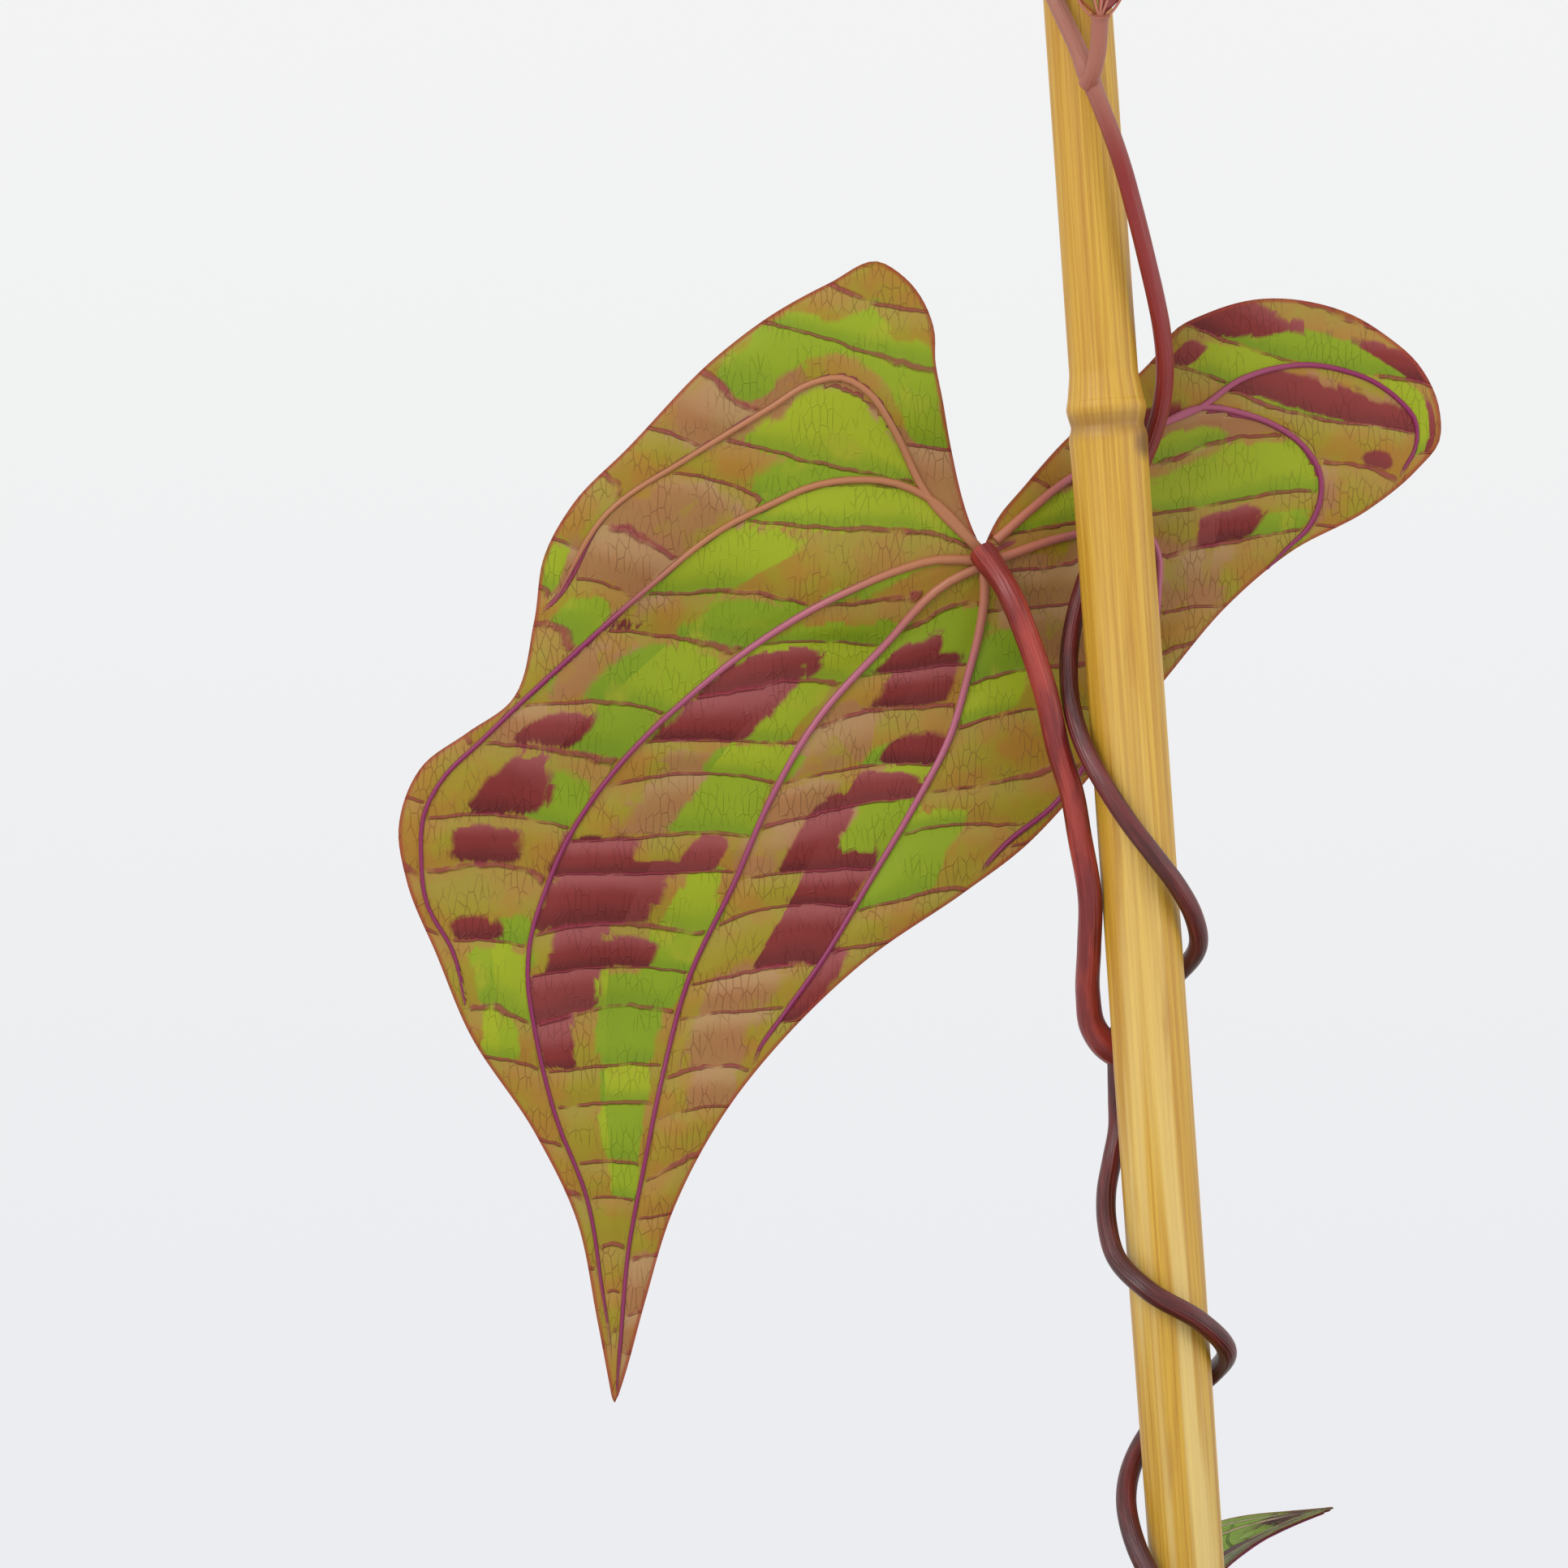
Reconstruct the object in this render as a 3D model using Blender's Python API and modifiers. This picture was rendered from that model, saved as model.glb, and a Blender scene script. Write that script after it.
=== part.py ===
"""Potted ornamental yam: a vine with heart-shaped leaves, grown from a tuber in a plain round pot and
twining up a bamboo cane. Metres, +Z up, front towards -Y, origin at the centre of the pot's underside."""

import math

import bmesh
import bpy
import numpy as np

MM = 0.001
GAP = 0.3 * MM  # left between two pieces that touch

# Pot
POT_HEIGHT = 110 * MM
POT_TOP_DIAMETER = 124 * MM
POT_BASE_DIAMETER = 88 * MM
POT_WALL = 5 * MM
POT_FLOOR = 6 * MM
RIM_BAND_HEIGHT = 18 * MM
RIM_BAND_THICKNESS = 3 * MM
DRAIN_HOLE_DIAMETER = 10 * MM
DRAIN_HOLE_COUNT = 3
DRAIN_RING_DIAMETER = 46 * MM

# Soil and tuber
SOIL_BELOW_RIM = 12 * MM
SOIL_TOP = POT_HEIGHT - SOIL_BELOW_RIM
TUBER_DIAMETER = 30 * MM
TUBER_LENGTH = 48 * MM
TUBER_PROUD = 6 * MM  # how far its crown stands above the soil
TUBER_PLACE = (-24 * MM, 10 * MM)

# Cane: its place where it leaves the soil, and its lean to the left
CANE_DIAMETER = 7.6 * MM
CANE_DEPTH = 78 * MM
CANE_HEIGHT = 322 * MM
CANE_PLACE_X = 3 * MM
CANE_LEAN = math.radians(4)
CANE_NODE_HEIGHT = 188 * MM

# Stem and leaves
STEM_DIAMETER = 2.2 * MM
STEM_SLACK = 0.35 * MM
STEM_REACH = CANE_DIAMETER / 2 * 1.06 + STEM_DIAMETER / 2 + GAP + STEM_SLACK  # between their centres
PETIOLE_DIAMETER = 2.5 * MM
BLADE_THICKNESS = 0.9 * MM
MAIN_LEAF_SCALE = 1.0
SMALL_LEAF_SCALE = 1.0

# How the stem twines: heights above the soil in mm and the angle round the cane there in degrees,
# counted from +X towards +Y, from the shoot down to the soil.
TWINING = (
    (326, -850), (313, -740), (300, -630), (285, -520), (270, -400), (256, -290), (244, -200), (233, -130),
    (225, -98), (213.5, -60), (201, -30), (192.5, 0), (185, 40), (176.5, 90), (166.5, 140),
    (158.5, 180), (152.5, 215), (143.5, 270), (139, 305), (132.5, 360), (126.5, 450), (123, 482),
    (112, 490), (107.5, 515), (104, 540), (100.5, 560), (98, 588), (96, 623), (94.5, 650), (93, 672),
    (91, 696), (89.5, 722), (87.5, 764), (83, 820), (79, 855), (74, 900), (67.5, 945), (62, 990),
    (54, 1080), (46, 1170), (38, 1260), (31, 1350), (24, 1440), (17, 1530),
)
BOW_HEIGHT, BOW_SPAN, BOW_OUT = 192, 16, 0.7  # mm: where the stem stands off the cane, and how far

# The main leaf, seen from the front: six lines from the end of its stalk to its tip, in mm from there as
# (right, up). They are its left edge, a line inside it, its midrib, two more lines and its right edge.
TIP = (-38.5, -89.5)
MAIN_LINES = (
    ((0, 0.3), (-1, 2.4), (-3.4, 11), (-4.3, 15.5), (-5.1, 19.5), (-5.2, 22.5), (-8.2, 28), (-11, 29.7),
     (-16, 27.5), (-22, 24.2), (-27.6, 20), (-37, 10.4), (-42.5, 4.8), (-45.5, -0.5), (-46.6, -7.2),
     (-49, -15.5), (-53.6, -18.8), (-58.3, -22.3), (-60.7, -28.6), (-59.9, -34.2), (-56.8, -42),
     (-53.5, -50), (-46.6, -60.8), (-42.5, -69.5), (-40.3, -80), TIP),
    ((0, 0.1), (-4.9, 0.6), (-9.8, 0.2), (-18.6, -4.2), (-30.6, -14.3), (-38.4, -22.6), (-44, -31.2),
     (-46.1, -39.7), (-45.6, -49.6), (-42, -60), (-40, -70), (-39.1, -80), TIP),
    ((0, 0), (-3.5, -2.9), (-10.4, -9.7), (-17.3, -17.4), (-22.1, -25.6), (-26, -34.6), (-30.5, -44.5),
     (-33.5, -54.8), (-35.4, -64.2), (-37, -73.5), (-37.9, -82.3), TIP),
    ((0, 0.1), (0.4, -3.5), (-0.2, -8), (-2, -12.5), (-5.5, -20), (-10, -28), (-15.5, -36), (-23, -46),
     (-29.6, -56), (-33.2, -65), (-35.9, -75), (-37.5, -84), TIP),
    ((0, 0.2), (3.5, 2.4), (9, 6.8), (16, 11.8), (24, 15.6), (32, 16), (37, 12.5), (35, 7), (29, 1),
     (21.5, -7), (13.5, -16.2), (5, -25.2), (-4, -33), (-13, -40.7), (-21.6, -49.6), (-27.8, -58.2),
     (-32.2, -67.5), (-35.1, -77), (-37.2, -85), TIP),
    ((0, 0.3), (1.6, 3.6), (4.4, 7), (8.8, 12), (15, 17.6), (18.8, 21.4), (20.6, 23.9), (24.2, 25.8),
     (29, 27.2), (35, 27.1), (39.5, 25.8), (43.2, 23.6), (46.8, 20.4), (49, 15.6), (49, 12.4),
     (46.6, 9.3), (41.5, 5.1), (33.2, 0.6), (26.4, -5.1), (19.6, -13), (10, -25.2), (4.6, -30.8),
     (-1.5, -35.4), (-12.2, -42.8), (-20.8, -51), (-27.4, -59.4), (-32.4, -69), (-35.3, -78.5),
     (-37.5, -86.5), TIP),
)
MAIN_PACES = (1, 1.15, 1.35, 1.35, 1.15, 1)  # how much slower each line sets out from the stalk
# How far back the main leaf's blade lies at some places on it, in mm as (right, up, back).
MAIN_DEPTHS = (
    (0, 0, 2), (-8, 26, -4), (-24, 20, -4), (-38, 8, -3), (-20, 5, 0.5), (-46, -10, -0.5), (-60, -28, 0),
    (-56, -43, 1.5), (-46, -60, 3.5), (-38.5, -89, 5), (-30, -15, 4), (-44, -35, 4), (-22, -25, 8),
    (-31, -45, 8.5), (-35, -64, 6.5), (-5, -18, 8), (-10, -34, 9.3), (-22, -50, 8), (8, -10, 9),
    (15, 4, 10.5), (12, -20, 10.6), (20, 22, 11.2), (30, 10, 13.2), (45, 20, 13.2), (48, 10, 14.2),
    (34, -2, 13.4),
)
DEPTH_REACH = 10  # mm over which one of those places gives way to the next

# A plain leaf of length 1: its midrib, and a line and the edge of one half, as (along, across).
MIDRIB = ((0, 0), (0.25, 0), (0.5, 0), (0.75, 0), (1, 0))
HALF_LINE = (
    (0, 0), (0.01, 0.07), (0.07, 0.19), (0.2, 0.27), (0.38, 0.28), (0.56, 0.21), (0.75, 0.1), (0.9, 0.03),
    (1, 0),
)
HALF_EDGE = (
    (0, 0), (-0.05, 0.022), (-0.14, 0.05), (-0.23, 0.11), (-0.26, 0.21), (-0.21, 0.34), (-0.08, 0.45),
    (0.09, 0.5), (0.27, 0.475), (0.44, 0.395), (0.61, 0.27), (0.77, 0.145), (0.9, 0.05), (1, 0),
)
PLAIN_LINES = (
    HALF_EDGE, HALF_LINE, MIDRIB, [(u, -v) for u, v in HALF_LINE], [(u, -v) for u, v in HALF_EDGE],
)
# The same for a young leaf, which has no lobes yet.
YOUNG_LINE = (
    (0, 0), (0.06, 0.06), (0.18, 0.16), (0.33, 0.23), (0.5, 0.22), (0.66, 0.15), (0.82, 0.06), (1, 0),
)
YOUNG_EDGE = (
    (0, 0), (0.03, 0.09), (0.1, 0.23), (0.2, 0.37), (0.33, 0.46), (0.48, 0.44), (0.62, 0.33), (0.76, 0.19),
    (0.88, 0.07), (1, 0),
)
YOUNG_LINES = (
    YOUNG_EDGE, YOUNG_LINE, MIDRIB, [(u, -v) for u, v in YOUNG_LINE], [(u, -v) for u, v in YOUNG_EDGE],
)
PLAIN_PACES = (1, 1.1, 1.3, 1.1, 1)

# The plain leaves: the stalk's node on the stem (mm above the soil), the places it passes and where it ends
# (mm right, back and above the soil), then the blade's length (mm), the way it points (degrees from +X),
# its slope there, how far it bends down, its tilt to the side, its width beside a plain leaf's, and how
# far its halves fold up.
PLAIN_LEAVES = {
    1: (20, ((20, 18, 24), (27, 32, 32)), 74, 64, -8, 50, 4, 0.95, 0.35),
    2: (31, ((5, -16, 36), (12, -35, 38)), 80, -68, -4, 58, -6, 0.92, 0.35),
    3: (40, ((-20, 12, 48), (-40, 15, 54)), 80, 160, -2, 52, 6, 0.88, 0.35),
    4: (54, ((18, -3, 56), (36, -4, 56)), 80, -4, -10, 52, 6, 0.92, 0.35),
    5: (46, ((-4, 15, 44), (-16, 27, 38)), 48, -6, 74, 58, 20, 0.6, 0.35),
    6: (37, ((-14, -12, 44), (-30, -23, 50)), 84, 222, -6, 55, -4, 0.88, 0.35),
    8: (222, ((-11.3, -9.5, 227),), 46, -75, 74, 20, 0, 0.42, 0.3),
    9: (262, ((4, 14, 276), (14, 20, 288)), 52, 24, 6, 50, 8, 0.85, 0.35),
    10: (289, ((-30, -8, 302), (-40, -10, 310)), 42, 196, 10, 45, -8, 0.75, 0.5),
}
YOUNG_LEAF = 8
MAIN_LEAF = 7
# The main leaf's place, and those its stalk passes: mm right of the stem's left reach, back, above the soil.
MAIN_LEAF_BASE = (-17.022, 0, 173.1)
MAIN_PETIOLE_NODE = 122
MAIN_PETIOLE_SIDE = 195  # degrees: the side of the stem that the main leaf's stalk rises along
YOUNG_PETIOLE_SIDE = -69
FULL_LEAF = 86  # mm: length of a leaf whose stalk is PETIOLE_DIAMETER thick
STALK_STEP = 1.5 * MM  # how far a stalk runs straight from the stem
RUN_IN = 9 * MM  # how far a stalk runs along under its blade
STALK_SLIM, STALK_END = 0.92, 1.04  # a stalk's thickness along it and at its blade, beside its diameter
MAIN_PETIOLE = (
    (-6.022, 3, 127), (-6.022, 0.8, 132), (-6.022, -1, 137), (-7.122, -1.4, 143.5), (-7.922, -1.5, 148),
    (-9.322, -1.6, 152.5), (-10.622, -1.7, 158.3), (-12.222, -1.4, 163.3), (-14.522, -0.6, 169),
)


def clear_scene():
    for item in list(bpy.data.objects):
        bpy.data.objects.remove(item)


def new_collection(name):
    group = bpy.data.collections.new(name)
    bpy.context.scene.collection.children.link(group)
    return group


def paint(name, colour, roughness):
    material = bpy.data.materials.new(name)
    material.use_nodes = True
    shader = material.node_tree.nodes["Principled BSDF"]
    shader.inputs["Base Color"].default_value = (*colour, 1)
    shader.inputs["Roughness"].default_value = roughness
    return material


def add_object(name, data, material, group):
    item = bpy.data.objects.new(name, data)
    if material:
        data.materials.append(material)
    group.objects.link(item)
    return item


def curve_through(points, shares):
    """Points at the given shares of the length of a smooth curve through all the points."""
    steps = 16
    p = np.array(points, float)
    span = np.linalg.norm(np.diff(p, axis=0), axis=1)[:, None]
    slope = np.diff(p, axis=0) / span
    between = (slope[:-1] * span[1:] + slope[1:] * span[:-1]) / (span[:-1] + span[1:])
    way = np.vstack([slope[:1], between, slope[-1:]])
    t = np.arange(steps)[:, None] / steps
    runs = []
    for a, b, leave, arrive, far in zip(p, p[1:], way, way[1:], span):
        bend = leave * far * (t - 2 * t**2 + t**3) + arrive * far * (t**3 - t**2)
        runs.append(a + (b - a) * (3 * t**2 - 2 * t**3) + bend)
    dense = np.vstack(runs + [p[-1:]])
    length = np.concatenate([[0], np.cumsum(np.linalg.norm(np.diff(dense, axis=0), axis=1))])
    return np.array([np.interp(np.asarray(shares) * length[-1], length, axis) for axis in dense.T]).T


def turned(name, profile, material, group, steps=48):
    """A round solid from a profile of (radius, height) that runs down its outer side."""
    mesh = bpy.data.meshes.new(name)
    edges = [(i, i + 1) for i in range(len(profile) - 1)]
    mesh.from_pydata([(r, 0, z) for r, z in profile], edges, [])
    item = add_object(name, mesh, material, group)
    screw = item.modifiers.new("turn", "SCREW")
    screw.steps = steps
    screw.render_steps = steps
    screw.use_merge_vertices = True
    screw.merge_threshold = 0.00001
    return item


def tube(name, points, radii, material, group):
    """A round tube through the points, with a radius at each of them."""
    curve = bpy.data.curves.new(name, "CURVE")
    curve.dimensions = "3D"
    curve.bevel_depth = 1
    curve.bevel_resolution = 2
    curve.use_fill_caps = True
    spline = curve.splines.new("POLY")
    spline.points.add(len(points) - 1)
    for knot, place, radius in zip(spline.points, points, radii):
        knot.co = (*place, 1)
        knot.radius = radius
    return add_object(name, curve, material, group)


def cut(item, cutter):
    cutter.hide_render = True
    cutter.display_type = "WIRE"
    boolean = item.modifiers.new("cut", "BOOLEAN")
    boolean.operation = "DIFFERENCE"
    boolean.object = cutter


def pot_inner_radius(height):
    """Radius of the pot's inside at a height above its floor's underside."""
    slope = (POT_TOP_DIAMETER - POT_BASE_DIAMETER) / 2 / POT_HEIGHT
    return POT_BASE_DIAMETER / 2 - RIM_BAND_THICKNESS - POT_WALL + slope * height + RIM_BAND_THICKNESS


def cane_axis(height):
    """Centre of the cane at a height above the soil."""
    return np.array([CANE_PLACE_X - math.tan(CANE_LEAN) * height, 0, SOIL_TOP + height])


def build_pot(group, cutters, material):
    top = POT_TOP_DIAMETER / 2
    under_band = POT_HEIGHT - RIM_BAND_HEIGHT
    wall_under_band = pot_inner_radius(under_band) + POT_WALL
    soften = 1.5 * MM
    profile = [
        (0, POT_FLOOR),
        (pot_inner_radius(POT_FLOOR) - soften, POT_FLOOR),
        (pot_inner_radius(POT_FLOOR), POT_FLOOR + soften),
        (pot_inner_radius(POT_HEIGHT), POT_HEIGHT - soften),
        (pot_inner_radius(POT_HEIGHT) + soften, POT_HEIGHT),
        (top + RIM_BAND_THICKNESS - soften, POT_HEIGHT),
        (top + RIM_BAND_THICKNESS, POT_HEIGHT - soften),
        (wall_under_band + RIM_BAND_THICKNESS, under_band + soften),
        (wall_under_band + RIM_BAND_THICKNESS - soften, under_band),
        (wall_under_band, under_band),
        (POT_BASE_DIAMETER / 2, soften),
        (POT_BASE_DIAMETER / 2 - soften, 0),
        (0, 0),
    ]
    pot = turned("pot", profile, material, group, steps=64)
    for i in range(DRAIN_HOLE_COUNT):
        angle = math.radians(90 + 360 * i / DRAIN_HOLE_COUNT)
        bpy.ops.mesh.primitive_cylinder_add(
            vertices=24,
            radius=DRAIN_HOLE_DIAMETER / 2,
            depth=POT_FLOOR * 3,
            location=(
                DRAIN_RING_DIAMETER / 2 * math.cos(angle),
                DRAIN_RING_DIAMETER / 2 * math.sin(angle),
                POT_FLOOR / 2,
            ),
        )
        cutter = bpy.context.object
        cutter.name = f"drain_cutter_{i + 1}"
        cutter.users_collection[0].objects.unlink(cutter)
        cutters.objects.link(cutter)
        cut(pot, cutter)


def egg(name, grow, group, material):
    """The tuber's rounded body, or with grow the pocket that holds it."""
    mesh = bpy.data.meshes.new(name)
    shape = bmesh.new()
    bmesh.ops.create_uvsphere(shape, u_segments=20, v_segments=12, radius=1)
    middle = SOIL_TOP + TUBER_PROUD - TUBER_LENGTH / 2
    for vert in shape.verts:
        x, y, z = vert.co
        slim = 1 - 0.18 * z
        vert.co.x = TUBER_PLACE[0] + x * slim * (TUBER_DIAMETER / 2 + grow)
        vert.co.y = TUBER_PLACE[1] + y * slim * (TUBER_DIAMETER / 2 * 0.9 + grow)
        vert.co.z = middle + z * (TUBER_LENGTH / 2 + grow)
    shape.to_mesh(mesh)
    shape.free()
    return add_object(name, mesh, material, group)


def cane_profile(grow):
    """The cane's turned profile from its top, or with grow the pocket that holds its foot."""
    r = CANE_DIAMETER / 2
    node = CANE_NODE_HEIGHT
    shape = (
        (0, CANE_HEIGHT), (0.78, CANE_HEIGHT), (0.86, CANE_HEIGHT - 1 * MM), (0.93, node + 40 * MM),
        (0.94, node + 4 * MM), (1.0, node + 1.5 * MM), (1.1, node), (1.06, node - 2.5 * MM),
        (1.06, node - 90 * MM), (1.0, node - 130 * MM), (0.96, 0), (0.96, 1 * MM - CANE_DEPTH),
        (0.86, -CANE_DEPTH), (0, -CANE_DEPTH),
    )
    if not grow:
        return [(r * wide, height) for wide, height in shape]
    pocket = r * 0.96 + grow
    foot = -CANE_DEPTH - grow
    return [(0, SOIL_BELOW_RIM), (pocket, SOIL_BELOW_RIM), (pocket, foot), (0, foot)]


def place_cane(item):
    item.location = (CANE_PLACE_X, 0, SOIL_TOP)
    item.rotation_euler = (0, -CANE_LEAN, 0)


def build_soil(group, cutters, material):
    bottom = POT_FLOOR + GAP
    profile = [
        (0, SOIL_TOP),
        (pot_inner_radius(SOIL_TOP) - GAP, SOIL_TOP),
        (pot_inner_radius(bottom + 2 * MM) - GAP, bottom + 2 * MM),
        (pot_inner_radius(bottom) - GAP - 2 * MM, bottom),
        (0, bottom),
    ]
    soil = turned("soil", profile, material, group, steps=48)
    cut(soil, egg("tuber_cutter", GAP, cutters, None))
    pocket = turned("cane_cutter", cane_profile(GAP), None, cutters, steps=24)
    place_cane(pocket)
    cut(soil, pocket)


def stem_spot(height):
    """Centre of the stem where it twines, and the way out from the cane there."""
    heights = np.arange(0, 340, 0.5)
    turns = np.interp(heights, *zip(*sorted(TWINING)))
    kernel = np.hanning(13)
    padded = np.pad(turns, 6, mode="reflect", reflect_type="odd")
    smooth = np.convolve(padded, kernel / kernel.sum(), mode="valid")
    angle = math.radians(np.interp(height / MM, heights, smooth))
    bow = BOW_OUT * math.exp(-(((height / MM - BOW_HEIGHT) / BOW_SPAN) ** 2)) * MM
    out = np.array([math.cos(angle), math.sin(angle), 0])
    return cane_axis(height) + out * (STEM_REACH + bow), out


def stem_points():
    crown = np.array([TUBER_PLACE[0], TUBER_PLACE[1], SOIL_TOP + TUBER_PROUD])
    low = TWINING[-1][0] * MM
    high = TWINING[0][0] * MM
    first, _ = stem_spot(low)
    start = crown + (0, 0, GAP)
    climb = [
        start,
        start + np.array([0, 0, 2]) * MM,
        start * 0.85 + first * 0.15 + np.array([0, 1, 3.5]) * MM,
        start * 0.6 + first * 0.4 + np.array([0, 2.2, 3.5]) * MM,
        start * 0.3 + first * 0.7 + np.array([0, 2, 1.5]) * MM,
    ]
    coil = [stem_spot(height)[0] for height in np.arange(low, high, 3.2 * MM)]
    top = coil[-1]
    free = [top + np.array(step) * MM for step in ((-3, -0.5, 4), (-7, 0, 8), (-12, 1, 11), (-17, 2, 12))]
    return climb + coil + free


def build_stem(group, material):
    places = stem_points()
    count = 112
    points = curve_through(places, np.linspace(0, 1, count))
    radii = STEM_DIAMETER / 2 * np.linspace(1.06, 0.72, count)
    tube("main_stem", points, radii, material, group)
    end = points[-1]
    way = (points[-1] - points[-2]) / np.linalg.norm(points[-1] - points[-2])
    hook = ((0, 0, 0), (-1.6, 0.1, 0.5), (-3.6, 0.3, 1.3), (-6, 0.6, 2.8), (-8, 1, 4.8), (-9.2, 1.4, 7))
    bud = [end + way * GAP + np.array(step) * MM for step in hook]
    swell = np.array([0.75, 1.0, 1.25, 1.15, 0.8, 0.35]) * STEM_DIAMETER / 2
    tube("shoot_tip", bud, swell, material, group)


def flat_net(lines, paces, columns, cells, first, last):
    """A net over a leaf laid flat: columns go from line to line across it and cells from base to tip."""
    step = np.linspace(0, 1, cells + 1)
    rows = np.array(
        [curve_through(line, first + (last - first) * step**pace) for line, pace in zip(lines, paces)]
    )
    across = np.linspace(0, len(lines) - 1, columns + 1)
    left = np.minimum(across.astype(int), len(lines) - 2)
    share = (across - left)[:, None, None]
    return rows[left] * (1 - share) + rows[left + 1] * share


def plain_leaf_shape(base, length, heading, slope, bend, tilt, width, fold):
    """A function that bends a flat plain leaf and turns it into place."""
    heading, slope, bend, tilt = (math.radians(value) for value in (heading, slope, bend, tilt))
    forward = np.array([math.cos(heading), math.sin(heading), 0])
    aside = np.array([-math.sin(heading), math.cos(heading), 0])
    upward = np.array([0, 0, 1.0])

    def place(u, v):
        turned_by = bend * u
        chord = math.sin(turned_by / 2) / (turned_by / 2) if turned_by else 1
        ahead = forward * math.cos(slope - turned_by / 2) + upward * math.sin(slope - turned_by / 2)
        normal = upward * math.cos(slope - turned_by) - forward * math.sin(slope - turned_by)
        across = aside * math.cos(tilt) + normal * math.sin(tilt)
        lift = normal * math.cos(tilt) - aside * math.sin(tilt)
        wave = 0.14 * math.sin(9 * u + 4 * v) * v * v
        rise = fold * math.sqrt(v * v + 0.0004) - 0.9 * v * v + wave
        return base + (ahead * u * chord + across * v * width + lift * rise) * length

    return place


def blade(name, lines, paces, place, columns, cells, ends, material, group):
    """A leaf blade: a grid over the flat leaf, each point put in place, then given its thickness."""
    mesh = bpy.data.meshes.new(name)
    grid = bmesh.new()
    bmesh.ops.create_grid(grid, x_segments=columns, y_segments=cells, size=0.5)
    net = flat_net(lines, paces, columns, cells, *ends)
    for vert in grid.verts:
        column = round((vert.co.x + 0.5) * columns)
        row = round((vert.co.y + 0.5) * cells)
        vert.co = place(*net[column, row])
    grid.to_mesh(mesh)
    grid.free()
    item = add_object(name, mesh, material, group)
    wall = item.modifiers.new("thickness", "SOLIDIFY")
    wall.thickness = BLADE_THICKNESS
    wall.offset = 0
    mesh.shade_smooth()
    return item


def main_blade_depth(right, up):
    """How far back the main leaf lies at a place on it, in mm."""
    spots = np.array(MAIN_DEPTHS, float)
    apart = (spots[:, 0] - right) ** 2 + (spots[:, 1] - up) ** 2
    weight = np.exp(-apart / DEPTH_REACH**2)
    return float((weight * spots[:, 2]).sum() / weight.sum())


def stalk_start(node, radius, beside):
    """The first two points of a leaf stalk at its node: straight out from the stem, or up along its side
    that faces the angle beside."""
    stem, out = stem_spot(node)
    if beside is None:
        start = stem + out * (STEM_DIAMETER / 2 + GAP)
        return [start, start + out * STALK_STEP]
    way = np.array([math.cos(math.radians(beside)), math.sin(math.radians(beside)), 0])
    start = stem + way * (STEM_DIAMETER / 2 + GAP + radius)
    return [start, start + np.array([0, 0, STALK_STEP])]


def petiole(name, node, beside, places, diameter, bulge, count, material, group):
    """A leaf stalk from its node on the stem to the blade, swollen at both ends."""
    share = np.linspace(0, 1, count) ** 1.3
    swell = STALK_SLIM + bulge * np.exp(-((share / 0.08) ** 2))
    swell += (STALK_END - STALK_SLIM) * np.exp(-(((1 - share) / 0.06) ** 2))
    radii = diameter / 2 * swell
    points = curve_through(stalk_start(node, radii[0], beside) + list(places), share)
    tube(name, points, radii, material, group)


def build_main_leaf(group, blade_material, stalk_material):
    left_reach = np.array([-STEM_REACH, 0, SOIL_TOP])
    base = np.array(MAIN_LEAF_BASE) * MM + left_reach

    def place(right, up):
        return base + np.array([right, main_blade_depth(right, up), up]) * MM * MAIN_LEAF_SCALE

    ends = (0.014, 0.975)
    blade(f"leaf_blade_{MAIN_LEAF}", MAIN_LINES, MAIN_PACES, place, 25, 24, ends, blade_material, group)
    places = [np.array(spot) * MM + left_reach for spot in MAIN_PETIOLE]
    clear = BLADE_THICKNESS / 2 + GAP + PETIOLE_DIAMETER / 2 * STALK_END
    places.append(base + (0, main_blade_depth(0, 0) * MM * MAIN_LEAF_SCALE - clear, 0))
    node, side = MAIN_PETIOLE_NODE * MM, MAIN_PETIOLE_SIDE
    petiole(f"petiole_{MAIN_LEAF}", node, side, places, PETIOLE_DIAMETER, 0.3, 20, stalk_material, group)


def build_plain_leaf(number, leaf, group, blade_material, stalk_material):
    node, route, length, heading, slope, bend, tilt, width, fold = leaf
    young = number == YOUNG_LEAF
    shift = np.array([0, 0, SOIL_TOP])
    base = np.array(route[-1]) * MM + shift
    size = length * MM * SMALL_LEAF_SCALE
    place = plain_leaf_shape(base, size, heading, slope, bend, tilt, width, fold)
    lines, ends = (YOUNG_LINES, (0.03, 0.9)) if young else (PLAIN_LINES, (0.03, 0.95))
    blade(f"leaf_blade_{number}", lines, PLAIN_PACES, place, 12, 11, ends, blade_material, group)
    turn, climb = math.radians(heading), math.radians(slope)
    ahead = np.array([math.cos(turn) * math.cos(climb), math.sin(turn) * math.cos(climb), math.sin(climb)])
    below = np.array([math.cos(turn) * math.sin(climb), math.sin(turn) * math.sin(climb), -math.cos(climb)])
    diameter = PETIOLE_DIAMETER * (0.5 + 0.5 * length / FULL_LEAF)
    places = [np.array(spot) * MM + shift for spot in route[:-1]]
    if young:
        places.append(base - ahead * 2 * GAP)
    else:
        end = base + below * (BLADE_THICKNESS / 2 + GAP + diameter / 2 * STALK_END)
        places += [end - ahead * RUN_IN + below * STALK_STEP, end]
    beside = YOUNG_PETIOLE_SIDE if young else None
    petiole(f"petiole_{number}", node * MM, beside, places, diameter, 0.12, 12, stalk_material, group)


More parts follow.
